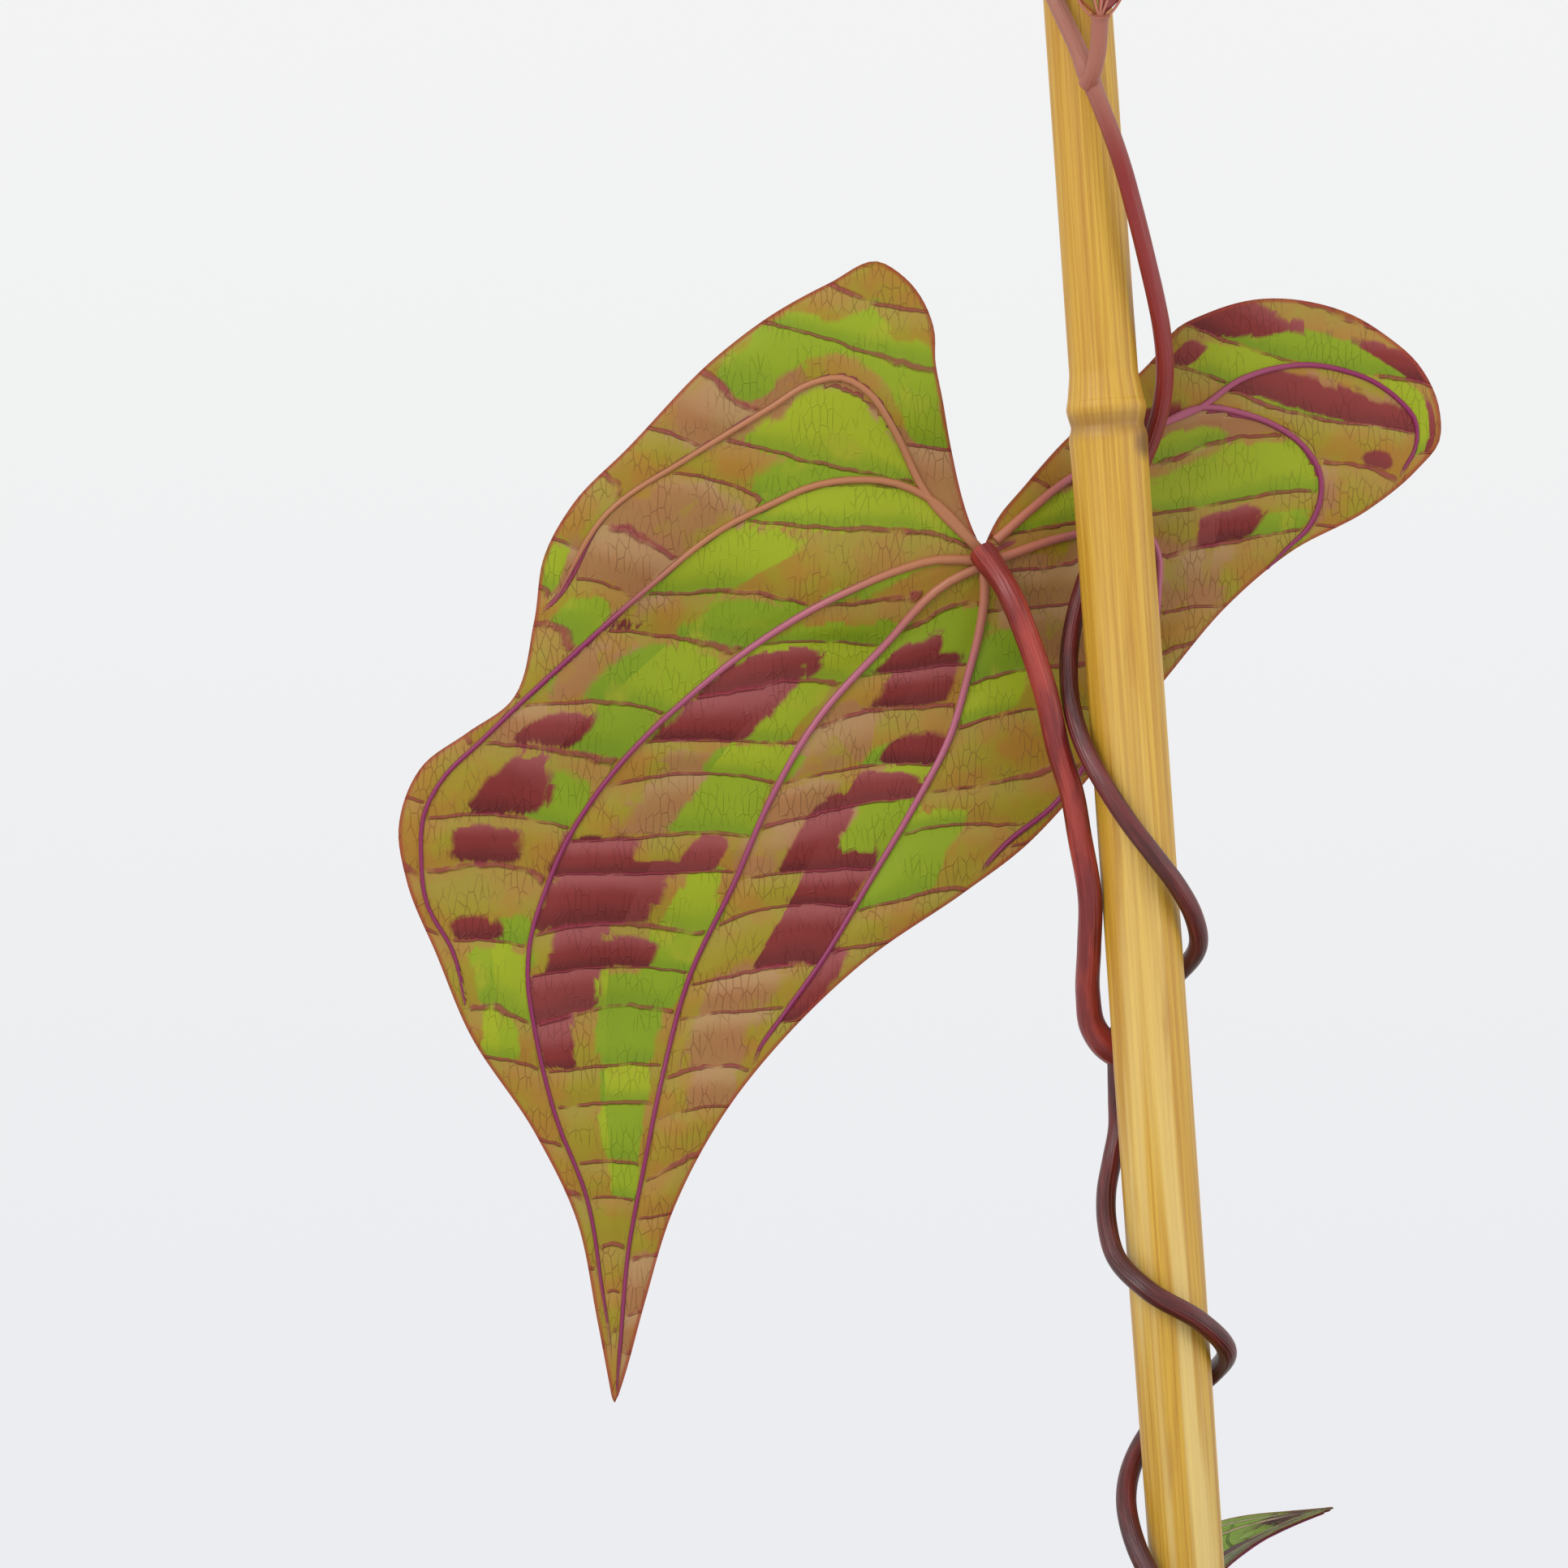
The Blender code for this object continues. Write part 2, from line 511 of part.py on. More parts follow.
clear_scene()
plant = new_collection("potted_ornamental_yam")
cutters = new_collection("cutters")
clay = paint("clay", (0.55, 0.24, 0.13), 0.85)
earth = paint("earth", (0.05, 0.03, 0.02), 0.95)
bark = paint("bark", (0.16, 0.09, 0.05), 0.9)
bamboo = paint("bamboo", (0.66, 0.36, 0.05), 0.45)
stem_skin = paint("stem_skin", (0.09, 0.012, 0.014), 0.4)
stalk_skin = paint("stalk_skin", (0.3, 0.02, 0.015), 0.4)
leaf_skin = paint("leaf_skin", (0.3, 0.32, 0.02), 0.5)

build_pot(plant, cutters, clay)
build_soil(plant, cutters, earth)
egg("tuber", 0, plant, bark)
place_cane(turned("support_cane", cane_profile(0), bamboo, plant, steps=24))
build_stem(plant, stem_skin)
build_main_leaf(plant, leaf_skin, stalk_skin)
for number, leaf in PLAIN_LEAVES.items():
    build_plain_leaf(number, leaf, plant, leaf_skin, stalk_skin)
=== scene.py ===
"""Potted ornamental yam: a twining vine with heart-shaped mottled leaves on a bamboo cane, in a clay pot.
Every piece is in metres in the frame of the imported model; tables of plain numbers are in mm."""

import math

import bpy
import numpy as np
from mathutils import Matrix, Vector, noise


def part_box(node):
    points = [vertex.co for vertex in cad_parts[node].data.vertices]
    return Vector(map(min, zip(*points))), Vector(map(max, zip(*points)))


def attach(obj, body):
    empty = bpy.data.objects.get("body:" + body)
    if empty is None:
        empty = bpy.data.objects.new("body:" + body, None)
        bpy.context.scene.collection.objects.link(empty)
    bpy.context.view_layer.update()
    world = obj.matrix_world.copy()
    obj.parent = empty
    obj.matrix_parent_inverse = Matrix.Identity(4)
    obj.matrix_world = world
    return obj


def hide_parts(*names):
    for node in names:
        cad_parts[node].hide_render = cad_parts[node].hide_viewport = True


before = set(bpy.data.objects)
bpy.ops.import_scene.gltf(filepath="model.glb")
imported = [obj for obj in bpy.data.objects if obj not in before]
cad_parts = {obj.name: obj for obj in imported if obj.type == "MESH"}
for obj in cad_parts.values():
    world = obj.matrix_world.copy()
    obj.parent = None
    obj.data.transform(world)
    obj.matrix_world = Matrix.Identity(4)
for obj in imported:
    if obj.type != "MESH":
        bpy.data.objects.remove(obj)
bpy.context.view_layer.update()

# --------------------------------------------------------------------------------------------------
# The pot: a plain thrown terracotta flowerpot with a thick rim band and three drain holes in its
# floor. It is unglazed, with faint turning lines and pale bloom where water has dried.

MM = 0.001
POT_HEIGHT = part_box("pot")[1].z
RIM_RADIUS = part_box("pot")[1].x
RIM_BAND, RIM_LIP, RIM_SLOPE = 18 * MM, 3 * MM, 0.6 * MM
WALL_THICKNESS, FOOT_RADIUS, POT_FLOOR = 5 * MM, 44 * MM, 6 * MM
INSIDE_RADIUS, FLARE = 39 * MM, 0.1636  # the inside at the very bottom, and how much it widens upwards
DRAIN_HOLES, DRAIN_RING, DRAIN_RADIUS = 3, 23 * MM, 5 * MM
CLAY, PALE_CLAY, CLAY_SPECK = (0.47, 0.19, 0.095), (0.63, 0.29, 0.15), (0.34, 0.13, 0.07)
TURNING_LINE, BLOOM = (0.7, 0.38, 0.22), (0.72, 0.56, 0.44)


def node(tree, kind, inputs=(), **settings):
    """A new node with its settings; each input, by name or number, takes a value or a wire."""
    made = tree.nodes.new(kind)
    for key, value in settings.items():
        setattr(made, key, value)
    for key, value in dict(inputs).items():
        if isinstance(value, Wire):
            tree.links.new(value.socket, made.inputs[key])
        else:
            made.inputs[key].default_value = value
    return made


def wire(tree, kind, inputs=(), output=0, **settings):
    """The wire that comes out of a new node."""
    return Wire(node(tree, kind, inputs, **settings).outputs[output])


class Wire:
    """A node's output, which sums, soft steps and mixed colours are made from as from a number."""

    def __init__(self, socket):
        self.socket = socket
        self.tree = socket.id_data

    def calc(self, operation, *others):
        values = dict(enumerate((self, *others)))
        return wire(self.tree, "ShaderNodeMath", values, operation=operation)

    def __add__(self, other):
        return self.calc("ADD", other)

    def __sub__(self, other):
        return self.calc("SUBTRACT", other)

    def __rsub__(self, other):
        return self.calc("MULTIPLY_ADD", -1.0, other)

    def __mul__(self, other):
        return self.calc("MULTIPLY", other)

    def __truediv__(self, other):
        return self.calc("DIVIDE", other)

    def __abs__(self):
        return self.calc("ABSOLUTE")

    def centred(self, size):
        """From 0 to 1 made to run from half the size below 0 to half of it above."""
        return self.calc("MULTIPLY_ADD", size, -size / 2)

    def step(self, low, high):
        """0 below low and 1 above high, with a soft change between them."""
        inputs = {"Value": self, "From Min": low, "From Max": high}
        return wire(self.tree, "ShaderNodeMapRange", inputs, interpolation_type="SMOOTHSTEP")

    def mix(self, under, over):
        """The colour over laid on the colour under, as strongly as this wire says."""
        under, over = ((*tint, 1.0) if isinstance(tint, tuple) else tint for tint in (under, over))
        return wire(self.tree, "ShaderNodeMix", {0: self, 6: under, 7: over}, 2, data_type="RGBA")


def grain(place, scale, detail=4.0, roughness=0.55):
    inputs = {"Vector": place, "Scale": scale, "Detail": detail, "Roughness": roughness}
    return wire(place.tree, "ShaderNodeTexNoise", inputs, "Fac")


def stretched(place, scale, shift=(0, 0, 0)):
    return wire(place.tree, "ShaderNodeMapping", {"Vector": place, "Scale": scale, "Location": shift})


def bump(height, distance, strength=1.0):
    inputs = {"Height": height, "Distance": distance, "Strength": strength}
    return wire(height.tree, "ShaderNodeBump", inputs)


def own_place(tree, kind="Object"):
    return wire(tree, "ShaderNodeTexCoord", output=kind)


def apart(vector):
    return [Wire(part) for part in node(vector.tree, "ShaderNodeSeparateXYZ", {0: vector}).outputs]


def new_material(name, roughness, specular=0.5):
    material = bpy.data.materials.new(name)
    material.use_nodes = True
    skin = material.node_tree.nodes["Principled BSDF"]
    skin.inputs["Roughness"].default_value = roughness
    skin.inputs["Specular IOR Level"].default_value = specular
    return material, material.node_tree, skin


def dress(skin, **wires):
    """Leads wires to the skin's sockets, whose names have _ for their spaces here."""
    for name, value in wires.items():
        value.tree.links.new(value.socket, skin.inputs[name.replace("_", " ")])


def plain_mesh(item):
    """The item's mesh with its modifiers worked in. The item itself goes."""
    depsgraph = bpy.context.evaluated_depsgraph_get()
    mesh = bpy.data.meshes.new_from_object(
        item.evaluated_get(depsgraph), preserve_all_data_layers=True, depsgraph=depsgraph
    )
    bpy.data.objects.remove(item)
    return mesh


def loose_object(name, data):
    item = bpy.data.objects.new(name, data)
    bpy.context.scene.collection.objects.link(item)
    return item


def add_piece(name, mesh, slot, *nodes):
    """A finished piece of the plant, in the place of those CAD nodes."""
    mesh.name = name
    piece = loose_object(name, mesh)
    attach(piece, "root")
    if nodes:
        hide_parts(*nodes)
    return piece


def rounded(profile, radius, steps=5):
    """The profile with its corners rounded."""
    p = np.array(profile, float)
    out = [p[0]]
    for before, corner, after in zip(p, p[1:], p[2:]):
        a, b = before - corner, after - corner
        reach = min(radius, np.linalg.norm(a) / 2, np.linalg.norm(b) / 2)
        a = corner + a / np.linalg.norm(a) * reach
        b = corner + b / np.linalg.norm(b) * reach
        for t in np.linspace(0, 1, steps + 1):
            out.append((1 - t) ** 2 * a + 2 * t * (1 - t) * corner + t**2 * b)
    return out + [p[-1]]


def turned(name, profile, steps):
    """A round mesh from a profile of (radius, height) that runs down its outer side."""
    mesh = bpy.data.meshes.new(name)
    edges = [(i, i + 1) for i in range(len(profile) - 1)]
    mesh.from_pydata([(r, 0, z) for r, z in profile], edges, [])
    item = loose_object(name, mesh)
    screw = item.modifiers.new("turn", "SCREW")
    screw.steps = steps
    screw.render_steps = steps
    screw.use_merge_vertices = True
    screw.merge_threshold = 0.00001
    return item


def pot_inside(height):
    return INSIDE_RADIUS + FLARE * height


def build_pot():
    band = POT_HEIGHT - RIM_BAND
    wall = pot_inside(band) + WALL_THICKNESS
    profile = [
        (0, POT_FLOOR), (pot_inside(POT_FLOOR), POT_FLOOR), (pot_inside(POT_HEIGHT), POT_HEIGHT),
        (RIM_RADIUS, POT_HEIGHT), (wall + RIM_LIP + RIM_SLOPE, band + RIM_LIP),
        (wall + RIM_LIP, band), (wall, band), (FOOT_RADIUS, 0), (0, 0),
    ]
    item = turned("pot_turned", rounded(profile, 2 * MM), 160)
    drills = []
    for i in range(DRAIN_HOLES):
        angle = math.radians(90 + 360 / DRAIN_HOLES * i)
        bpy.ops.mesh.primitive_cylinder_add(
            vertices=32, radius=DRAIN_RADIUS, depth=20 * MM,
            location=(DRAIN_RING * math.cos(angle), DRAIN_RING * math.sin(angle), POT_FLOOR / 2),
        )
        drills.append(bpy.context.object)
        cut = item.modifiers.new("drain", "BOOLEAN")
        cut.operation = "DIFFERENCE"
        cut.object = drills[-1]
    mesh = plain_mesh(item)
    for drill in drills:
        bpy.data.objects.remove(drill)
    mesh.shade_smooth()
    mesh.set_sharp_from_angle(angle=math.radians(40))
    return mesh


def build_clay():
    material, tree, skin = new_material("terracotta", 0.86, 0.3)
    place = own_place(tree)
    cloud, speck = grain(place, 38, 5), grain(place, 900, 2)
    rings = grain(stretched(place, (6, 6, 420)), 1.0, 3)
    base = cloud.step(0.3, 0.7).mix(CLAY, PALE_CLAY)
    base = speck.step(0.62, 0.75).mix(base, CLAY_SPECK)
    base = (rings.step(0.45, 0.7) * 0.25).mix(base, TURNING_LINE)
    damp = apart(place)[2] * 22 + cloud * 2.2
    base = (damp.step(2.1, 1.1) * 0.45).mix(base, BLOOM)
    relief = bump(rings * 0.7 + speck * 0.5, 0.35 * MM, 0.8)
    dress(skin, Base_Color=base, Roughness=speck * 0.2 + 0.74, Normal=relief)
    return material


pot_mesh = build_pot()
pot_mesh.materials.append(build_clay())
add_piece("clay_pot", pot_mesh, "clay", "pot")

# --------------------------------------------------------------------------------------------------
# The potting mix: dark peaty soil, filled to a finger's width below the rim and pressed down
# unevenly, with crumbs of bark and white grains of perlite lying on it.

SOIL_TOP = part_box("soil")[1].z
SOIL_FOOT = POT_FLOOR + 0.6 * MM
SOIL_GAP = 0.3 * MM
CRUMB_SIZE, PERLITE_SIZE = 1.1 * MM, 0.9 * MM
CRUMBS_PER_M2, PERLITE_PER_M2 = 70000, 12000
PEAT, PALE_PEAT = (0.012, 0.008, 0.006), (0.045, 0.028, 0.018)
BARK, PALE_BARK = (0.03, 0.016, 0.01), (0.13, 0.07, 0.04)
PERLITE, PALE_PERLITE = (0.42, 0.40, 0.37), (0.62, 0.60, 0.56)


def turns(count):
    """Even turns all the way round."""
    return [2 * math.pi * k / count for k in range(count)]


def round_body(name, top, rings, bottom):
    """A closed smooth mesh: a top spot, rings with as many spots each, and a bottom spot."""
    spokes = len(rings[0])
    last = 1 + (len(rings) - 1) * spokes
    pairs = [(k, (k + 1) % spokes) for k in range(spokes)]
    faces = [(0, 1 + k, 1 + after) for k, after in pairs]
    for a in range(1, last, spokes):
        b = a + spokes
        faces += [(a + k, b + k, b + after, a + after) for k, after in pairs]
    faces += [(last + k, last + spokes, last + after) for k, after in pairs]
    mesh = bpy.data.meshes.new(name)
    mesh.from_pydata([top, *(spot for ring in rings for spot in ring), bottom], [], faces)
    mesh.shade_smooth()
    return mesh


def soil_spot(radius, turn, rim):
    """A spot on the soil's top, which is lumpy, heaped about the cane and lower by the rim."""
    x, y = radius * math.cos(turn), radius * math.sin(turn)
    lump = noise.fractal(Vector((x, y, 0.3)) * 90, 0.8, 2.1, 5) * 1.5 * MM
    heap = 1.6 * MM * math.exp(-((x - 3 * MM) ** 2 + y**2) / (11 * MM) ** 2)
    sag = -1.2 * MM * (radius / rim) ** 6
    return x, y, SOIL_TOP - 0.6 * MM + lump + heap + sag


def build_soil():
    rim = pot_inside(SOIL_TOP) - SOIL_GAP
    count, round_turns = 46, turns(140)
    rings = [[soil_spot(rim * i / count, turn, rim) for turn in round_turns] for i in range(1, count + 1)]
    below = ((pot_inside(40 * MM) - SOIL_GAP, 40 * MM), (pot_inside(POT_FLOOR) - 3 * MM, SOIL_FOOT))
    for radius, height in below:
        rings.append([(radius * math.cos(turn), radius * math.sin(turn), height) for turn in round_turns])
    return round_body("soil_body", (0, 0, SOIL_TOP), rings, (0, 0, SOIL_FOOT))


def build_earth(name, dark, pale, scale):
    material, tree, skin = new_material(name, 0.92, 0.25)
    place = own_place(tree)
    coarse, fine = grain(place, scale, 5), grain(place, scale * 6, 4, 0.7)
    base = coarse.step(0.35, 0.68).mix(dark, pale)
    base = fine.step(0.5, 0.72).mix(base, tuple(part * 1.7 for part in pale))
    dress(skin, Base_Color=base, Normal=bump(coarse + fine, 0.8 * MM))
    return material


def geometry_tree(name, inputs):
    """A Geometry Nodes tree with those inputs beside its shape, and the wires they come in by."""
    tree = bpy.data.node_groups.new(name, "GeometryNodeTree")
    for key, kind in {"Geometry": "Geometry", **inputs}.items():
        tree.interface.new_socket(key, in_out="INPUT", socket_type="NodeSocket" + kind)
    tree.interface.new_socket("Geometry", in_out="OUTPUT", socket_type="NodeSocketGeometry")
    return tree, {socket.name: Wire(socket) for socket in node(tree, "NodeGroupInput").outputs}


def random_vector(tree, low, high, seed):
    inputs = {0: low, 1: high, "Seed": seed}
    return wire(tree, "FunctionNodeRandomValue", inputs, data_type="FLOAT_VECTOR")


def scatter_tree():
    """Grains strewn over what faces up: flat rough crumbs, and round smooth perlite."""
    tree, start = geometry_tree("strewn_grains", {
        "Crumb Count": "Float", "Crumb Size": "Float", "Crumb Skin": "Material",
        "Perlite Count": "Float", "Perlite Size": "Float", "Perlite Skin": "Material",
    })
    up = apart(wire(tree, "GeometryNodeInputNormal"))[2]
    faces_up = wire(tree, "FunctionNodeCompare", {0: up, 1: 0.7}, operation="GREATER_THAN")
    kinds = (
        ("Crumb", (0.35, 0.3, 0.2), (1.5, 1.0, 0.7), False),
        ("Perlite", (0.4, 0.4, 0.4), (1.0, 1.0, 0.9), True),
    )
    parts = [start["Geometry"]]
    for i, (kind, low, high, smooth) in enumerate(kinds):
        points = wire(tree, "GeometryNodeDistributePointsOnFaces", {
            "Mesh": start["Geometry"], "Selection": faces_up,
            "Density": start[kind + " Count"], "Seed": 3 + i,
        })
        ball = wire(tree, "GeometryNodeMeshIcoSphere", {"Radius": 1.0, "Subdivisions": 1 + i})
        sizes = {0: random_vector(tree, low, high, 11 + i), "Scale": start[kind + " Size"]}
        grains = wire(tree, "GeometryNodeInstanceOnPoints", {
            "Points": points, "Instance": ball,
            "Rotation": random_vector(tree, (0, 0, 0), (6.3, 6.3, 6.3), 21 + i),
            "Scale": wire(tree, "ShaderNodeVectorMath", sizes, operation="SCALE"),
        })
        grains = wire(tree, "GeometryNodeRealizeInstances", {0: grains})
        grains = wire(tree, "GeometryNodeSetShadeSmooth", {0: grains, "Shade Smooth": smooth})
        skin = start[kind + " Skin"]
        parts.append(wire(tree, "GeometryNodeSetMaterial", {0: grains, "Material": skin}))
    joined = node(tree, "GeometryNodeJoinGeometry")
    for part in parts:
        tree.links.new(part.socket, joined.inputs[0])
    node(tree, "NodeGroupOutput", {0: Wire(joined.outputs[0])})
    return tree


def worked(item, tree, values):
    """The item's plain mesh after a Geometry Nodes tree with those inputs, by their names."""
    modifier = item.modifiers.new("nodes", "NODES")
    modifier.node_group = tree
    for socket in tree.interface.items_tree:
        if socket.in_out == "INPUT" and socket.name in values:
            modifier[socket.identifier] = values[socket.name]
    return plain_mesh(item)


soil_mesh = build_soil()
soil_mesh.materials.append(build_earth("potting_mix", PEAT, PALE_PEAT, 260))
soil_mesh = worked(loose_object("soil_base", soil_mesh), scatter_tree(), {
    "Crumb Count": CRUMBS_PER_M2, "Crumb Size": CRUMB_SIZE,
    "Crumb Skin": build_earth("bark_crumbs", BARK, PALE_BARK, 700),
    "Perlite Count": PERLITE_PER_M2, "Perlite Size": PERLITE_SIZE,
    "Perlite Skin": build_earth("perlite", PERLITE, PALE_PERLITE, 900),
})
add_piece("soil_bed", soil_mesh, "soil", "soil")

# --------------------------------------------------------------------------------------------------
# The tuber: the yam's swollen root, set in the soil with its corky brown crown showing. Its skin is
# rough, cracked and a little ringed.

TUBER_PLACE = (-24 * MM, 10 * MM)
TUBER_DIAMETER, TUBER_LENGTH = 30 * MM, 48 * MM
TUBER_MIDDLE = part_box("tuber")[1].z - TUBER_LENGTH / 2
CORK, PALE_CORK, CRACK = (0.10, 0.05, 0.028), (0.30, 0.18, 0.10), (0.03, 0.016, 0.01)


def tuber_spot(fall, turn):
    """A spot on the tuber, that far round from its top and round its upright axis."""
    x, y, z = math.sin(fall) * math.cos(turn), math.sin(fall) * math.sin(turn), math.cos(fall)
    spot = Vector((x, y, z))
    rough = 1 + 0.045 * noise.fractal(spot * 3, 0.9, 2, 4) - 0.02 * abs(noise.noise(spot * 9))
    rough += 0.012 * math.sin(z * 26 + 3 * noise.noise(spot * 2)) * math.sin(fall)
    slim = 1 - 0.18 * z
    return (
        TUBER_PLACE[0] + x * slim * TUBER_DIAMETER / 2 * rough,
        TUBER_PLACE[1] + y * slim * TUBER_DIAMETER / 2 * 0.9 * rough,
        TUBER_MIDDLE + z * TUBER_LENGTH / 2 * min(rough, 1.0),
    )


def build_tuber():
    rows = 60
    rings = [[tuber_spot(math.pi * i / rows, turn) for turn in turns(80)] for i in range(1, rows)]
    return round_body("tuber_body", tuber_spot(0, 0), rings, tuber_spot(math.pi, 0))


def build_cork():
    material, tree, skin = new_material("tuber_cork", 0.85, 0.3)
    place = own_place(tree)
    flake = grain(place, 320, 6, 0.65)
    crack = wire(
        tree, "ShaderNodeTexVoronoi", {"Vector": stretched(place, (1, 1, 2.2)), "Scale": 300},
        "Distance", feature="DISTANCE_TO_EDGE",
    )
    base = flake.step(0.35, 0.7).mix(CORK, PALE_CORK)
    base = crack.step(0.07, 0.0).mix(base, CRACK)
    dress(skin, Base_Color=base, Normal=bump(flake + crack.step(0.0, 0.12), 0.6 * MM))
    return material


tuber_mesh = build_tuber()
tuber_mesh.materials.append(build_cork())
add_piece("yam_tuber", tuber_mesh, "tuber_skin", "tuber")

# --------------------------------------------------------------------------------------------------
# The cane: a thin golden bamboo plant cane pushed into the soil and leaning a little to the left.
# It has one node with a brown scar, lengthwise fibres with pale streaks, and a sawn top.

CANE_DIAMETER = 7.6 * MM
CANE_DEPTH, CANE_HEIGHT, CANE_NODE = 78 * MM, 322 * MM, 188 * MM
CANE_LEAN = math.radians(4)
CANE_FOOT = (3 * MM, 0, SOIL_TOP)
CANE_SHAPE = (  # height above the soil, and how thick it is there for its diameter
    (-CANE_DEPTH, 0.9), (-60 * MM, 0.96), (58 * MM, 1.0), (98 * MM, 1.05), (CANE_NODE - 6 * MM, 1.05),
    (CANE_NODE - 2.6 * MM, 1.08), (CANE_NODE - 1.4 * MM, 0.985), (CANE_NODE - 0.7 * MM, 1.04),
    (CANE_NODE + 0.4 * MM, 1.1), (CANE_NODE + 1.6 * MM, 1.03), (CANE_NODE + 4 * MM, 0.94),
    (CANE_NODE + 40 * MM, 0.93), (CANE_HEIGHT - 1 * MM, 0.86), (CANE_HEIGHT, 0.80),
)
NODE_SCAR = (3.4 * MM, -1.6 * MM, CANE_NODE - 3.5 * MM)
OCHRE, GOLD, STRAW, TAN = (0.41, 0.19, 0.008), (0.60, 0.36, 0.035), (0.72, 0.55, 0.20), (0.36, 0.16, 0.02)
SCAR_BROWN, NODE_BROWN, SAWN_END = (0.12, 0.045, 0.012), (0.20, 0.08, 0.015), (0.70, 0.56, 0.33)


def leant(points):
    """Points about the upright axis, leant to the left and moved to the cane's foot."""
    x, y, z = np.array(points, float).T
    cos, sin = math.cos(CANE_LEAN), math.sin(CANE_LEAN)
    return np.column_stack([x * cos - z * sin, y, x * sin + z * cos]) + CANE_FOOT


def attribute(tree, name, part="Vector"):
    return wire(tree, "ShaderNodeAttribute", output=part, attribute_name=name)


def set_vectors(mesh, name, values):
    made = mesh.attributes.new(name, "FLOAT_VECTOR", "POINT")
    made.data.foreach_set("vector", np.asarray(values, np.float32).ravel())


def build_cane():
    by_node = np.linspace(CANE_NODE - 4 * MM, CANE_NODE + 5 * MM, 46)
    heights = sorted({*np.linspace(-CANE_DEPTH, CANE_HEIGHT, 260), *by_node})
    sizes = np.pad(np.interp(heights, *zip(*CANE_SHAPE)), 2, mode="edge")
    sizes = np.convolve(sizes, [0.1, 0.2, 0.4, 0.2, 0.1], "valid") * CANE_DIAMETER / 2
    hollow = CANE_HEIGHT - 3 * MM
    profile = [(0, hollow), (0.9 * MM, hollow), (1.1 * MM, CANE_HEIGHT)]
    profile += [(r, h) for h, r in zip(heights[::-1], sizes[::-1])] + [(0, -CANE_DEPTH)]
    mesh = plain_mesh(turned("cane_turned", profile, 64))
    p = np.array([v.co for v in mesh.vertices])
    angle = np.arctan2(p[:, 1], p[:, 0])
    set_vectors(mesh, "rod", np.column_stack([np.cos(angle), np.sin(angle), p[:, 2]]))
    grooved = 1 + 0.012 * np.sin(3 * angle + 1 + p[:, 2] * 6) + 0.006 * np.sin(11 * angle + p[:, 2] * 14)
    p[:, :2] *= grooved[:, None]
    mesh.vertices.foreach_set("co", leant(p).astype(np.float32).ravel())
    mesh.shade_smooth()
    mesh.set_sharp_from_angle(angle=math.radians(50))
    return mesh


def build_bamboo():
    material, tree, skin = new_material("bamboo", 0.42, 0.5)
    rod = attribute(tree, "rod")
    height = apart(rod)[2]
    fibre = grain(stretched(rod, (9, 9, 28)), 1.0, 5, 0.6)
    broad = grain(stretched(rod, (1.3, 1.3, 11), (4, 2, 1)), 1.0, 2)
    dull = grain(stretched(rod, (2, 2, 45), (1, 7, 3)), 1.0, 3)
    full = stretched(rod, (CANE_DIAMETER / 2, CANE_DIAMETER / 2, 1))
    from_scar = wire(tree, "ShaderNodeVectorMath", {0: full, 1: NODE_SCAR}, "Value", operation="DISTANCE")
    from_node = abs(height - (CANE_NODE - 1.3 * MM))
    base = fibre.step(0.3, 0.72).mix(OCHRE, GOLD)
    base = (broad.step(0.48, 0.62) * height.step(0.20, 0.06) * 0.75).mix(base, STRAW)
    base = (dull.step(0.55, 0.75) * 0.55).mix(base, TAN)
    base = (from_scar.step(2.4 * MM, 0.6 * MM) * 0.8).mix(base, SCAR_BROWN)
    base = (from_node.step(2.2 * MM, 0.0) * 0.6).mix(base, NODE_BROWN)
    base = height.step(CANE_HEIGHT - 0.8 * MM, CANE_HEIGHT).mix(base, SAWN_END)
    dress(skin, Base_Color=base, Roughness=fibre * 0.25 + 0.32, Normal=bump(fibre, 0.18 * MM, 0.9))
    return material


cane_mesh = build_cane()
cane_mesh.materials.append(build_bamboo())
add_piece("bamboo_cane", cane_mesh, "bamboo", "support_cane")

# --------------------------------------------------------------------------------------------------
# The stem: one thin dark red vine that comes up from the tuber, twines up the cane and ends beyond
# its top. It is faintly ribbed, a little swollen where each leaf stalk leaves it, and paler where
# it is young.

STEM_DIAMETER = 2.2 * MM
STEM_GAP = 0.65 * MM  # between the stem and the cane
CANE_SWELL = 1.06  # the thickest of the cane for its diameter
BOW, BOW_HEIGHT, BOW_SPAN = 0.7 * MM, 192, 16  # how the stem stands off by the cane's node
COIL_FOOT, COIL_TOP, COIL_STEP = 17, 326, 3.2
STEM_TAPER = (0, 0.01, 0.04, 1), (1.7, 1.2, 1.06, 0.72)
KNOT_SWELL, KNOT_SPAN = 0.22, 1.6  # how much thicker the stem is at a leaf's node, and over how many mm
TWINING = (  # height above the soil in mm, and the stem's turn round the cane there in degrees
    (326, -850), (313, -740), (300, -630), (285, -520), (270, -400), (256, -290), (244, -200), (233, -130),
    (225, -98), (213.5, -60), (201, -30), (192.5, 0), (185, 40), (176.5, 90), (166.5, 140),
    (158.5, 180), (152.5, 215), (143.5, 270), (139, 305), (132.5, 360), (126.5, 450), (123, 482),
    (112, 490), (107.5, 515), (104, 540), (100.5, 560), (98, 588), (96, 623), (94.5, 650), (93, 672),
    (91, 696), (89.5, 722), (87.5, 764), (83, 820), (79, 855), (74, 900), (67.5, 945), (62, 990),
    (54, 1080), (46, 1170), (38, 1260), (31, 1350), (24, 1440), (17, 1530),
)
LEAF_NODES = {1: 20, 2: 31, 3: 40, 4: 54, 5: 46, 6: 37, 7: 122, 8: 222, 9: 262, 10: 289}  # heights in mm
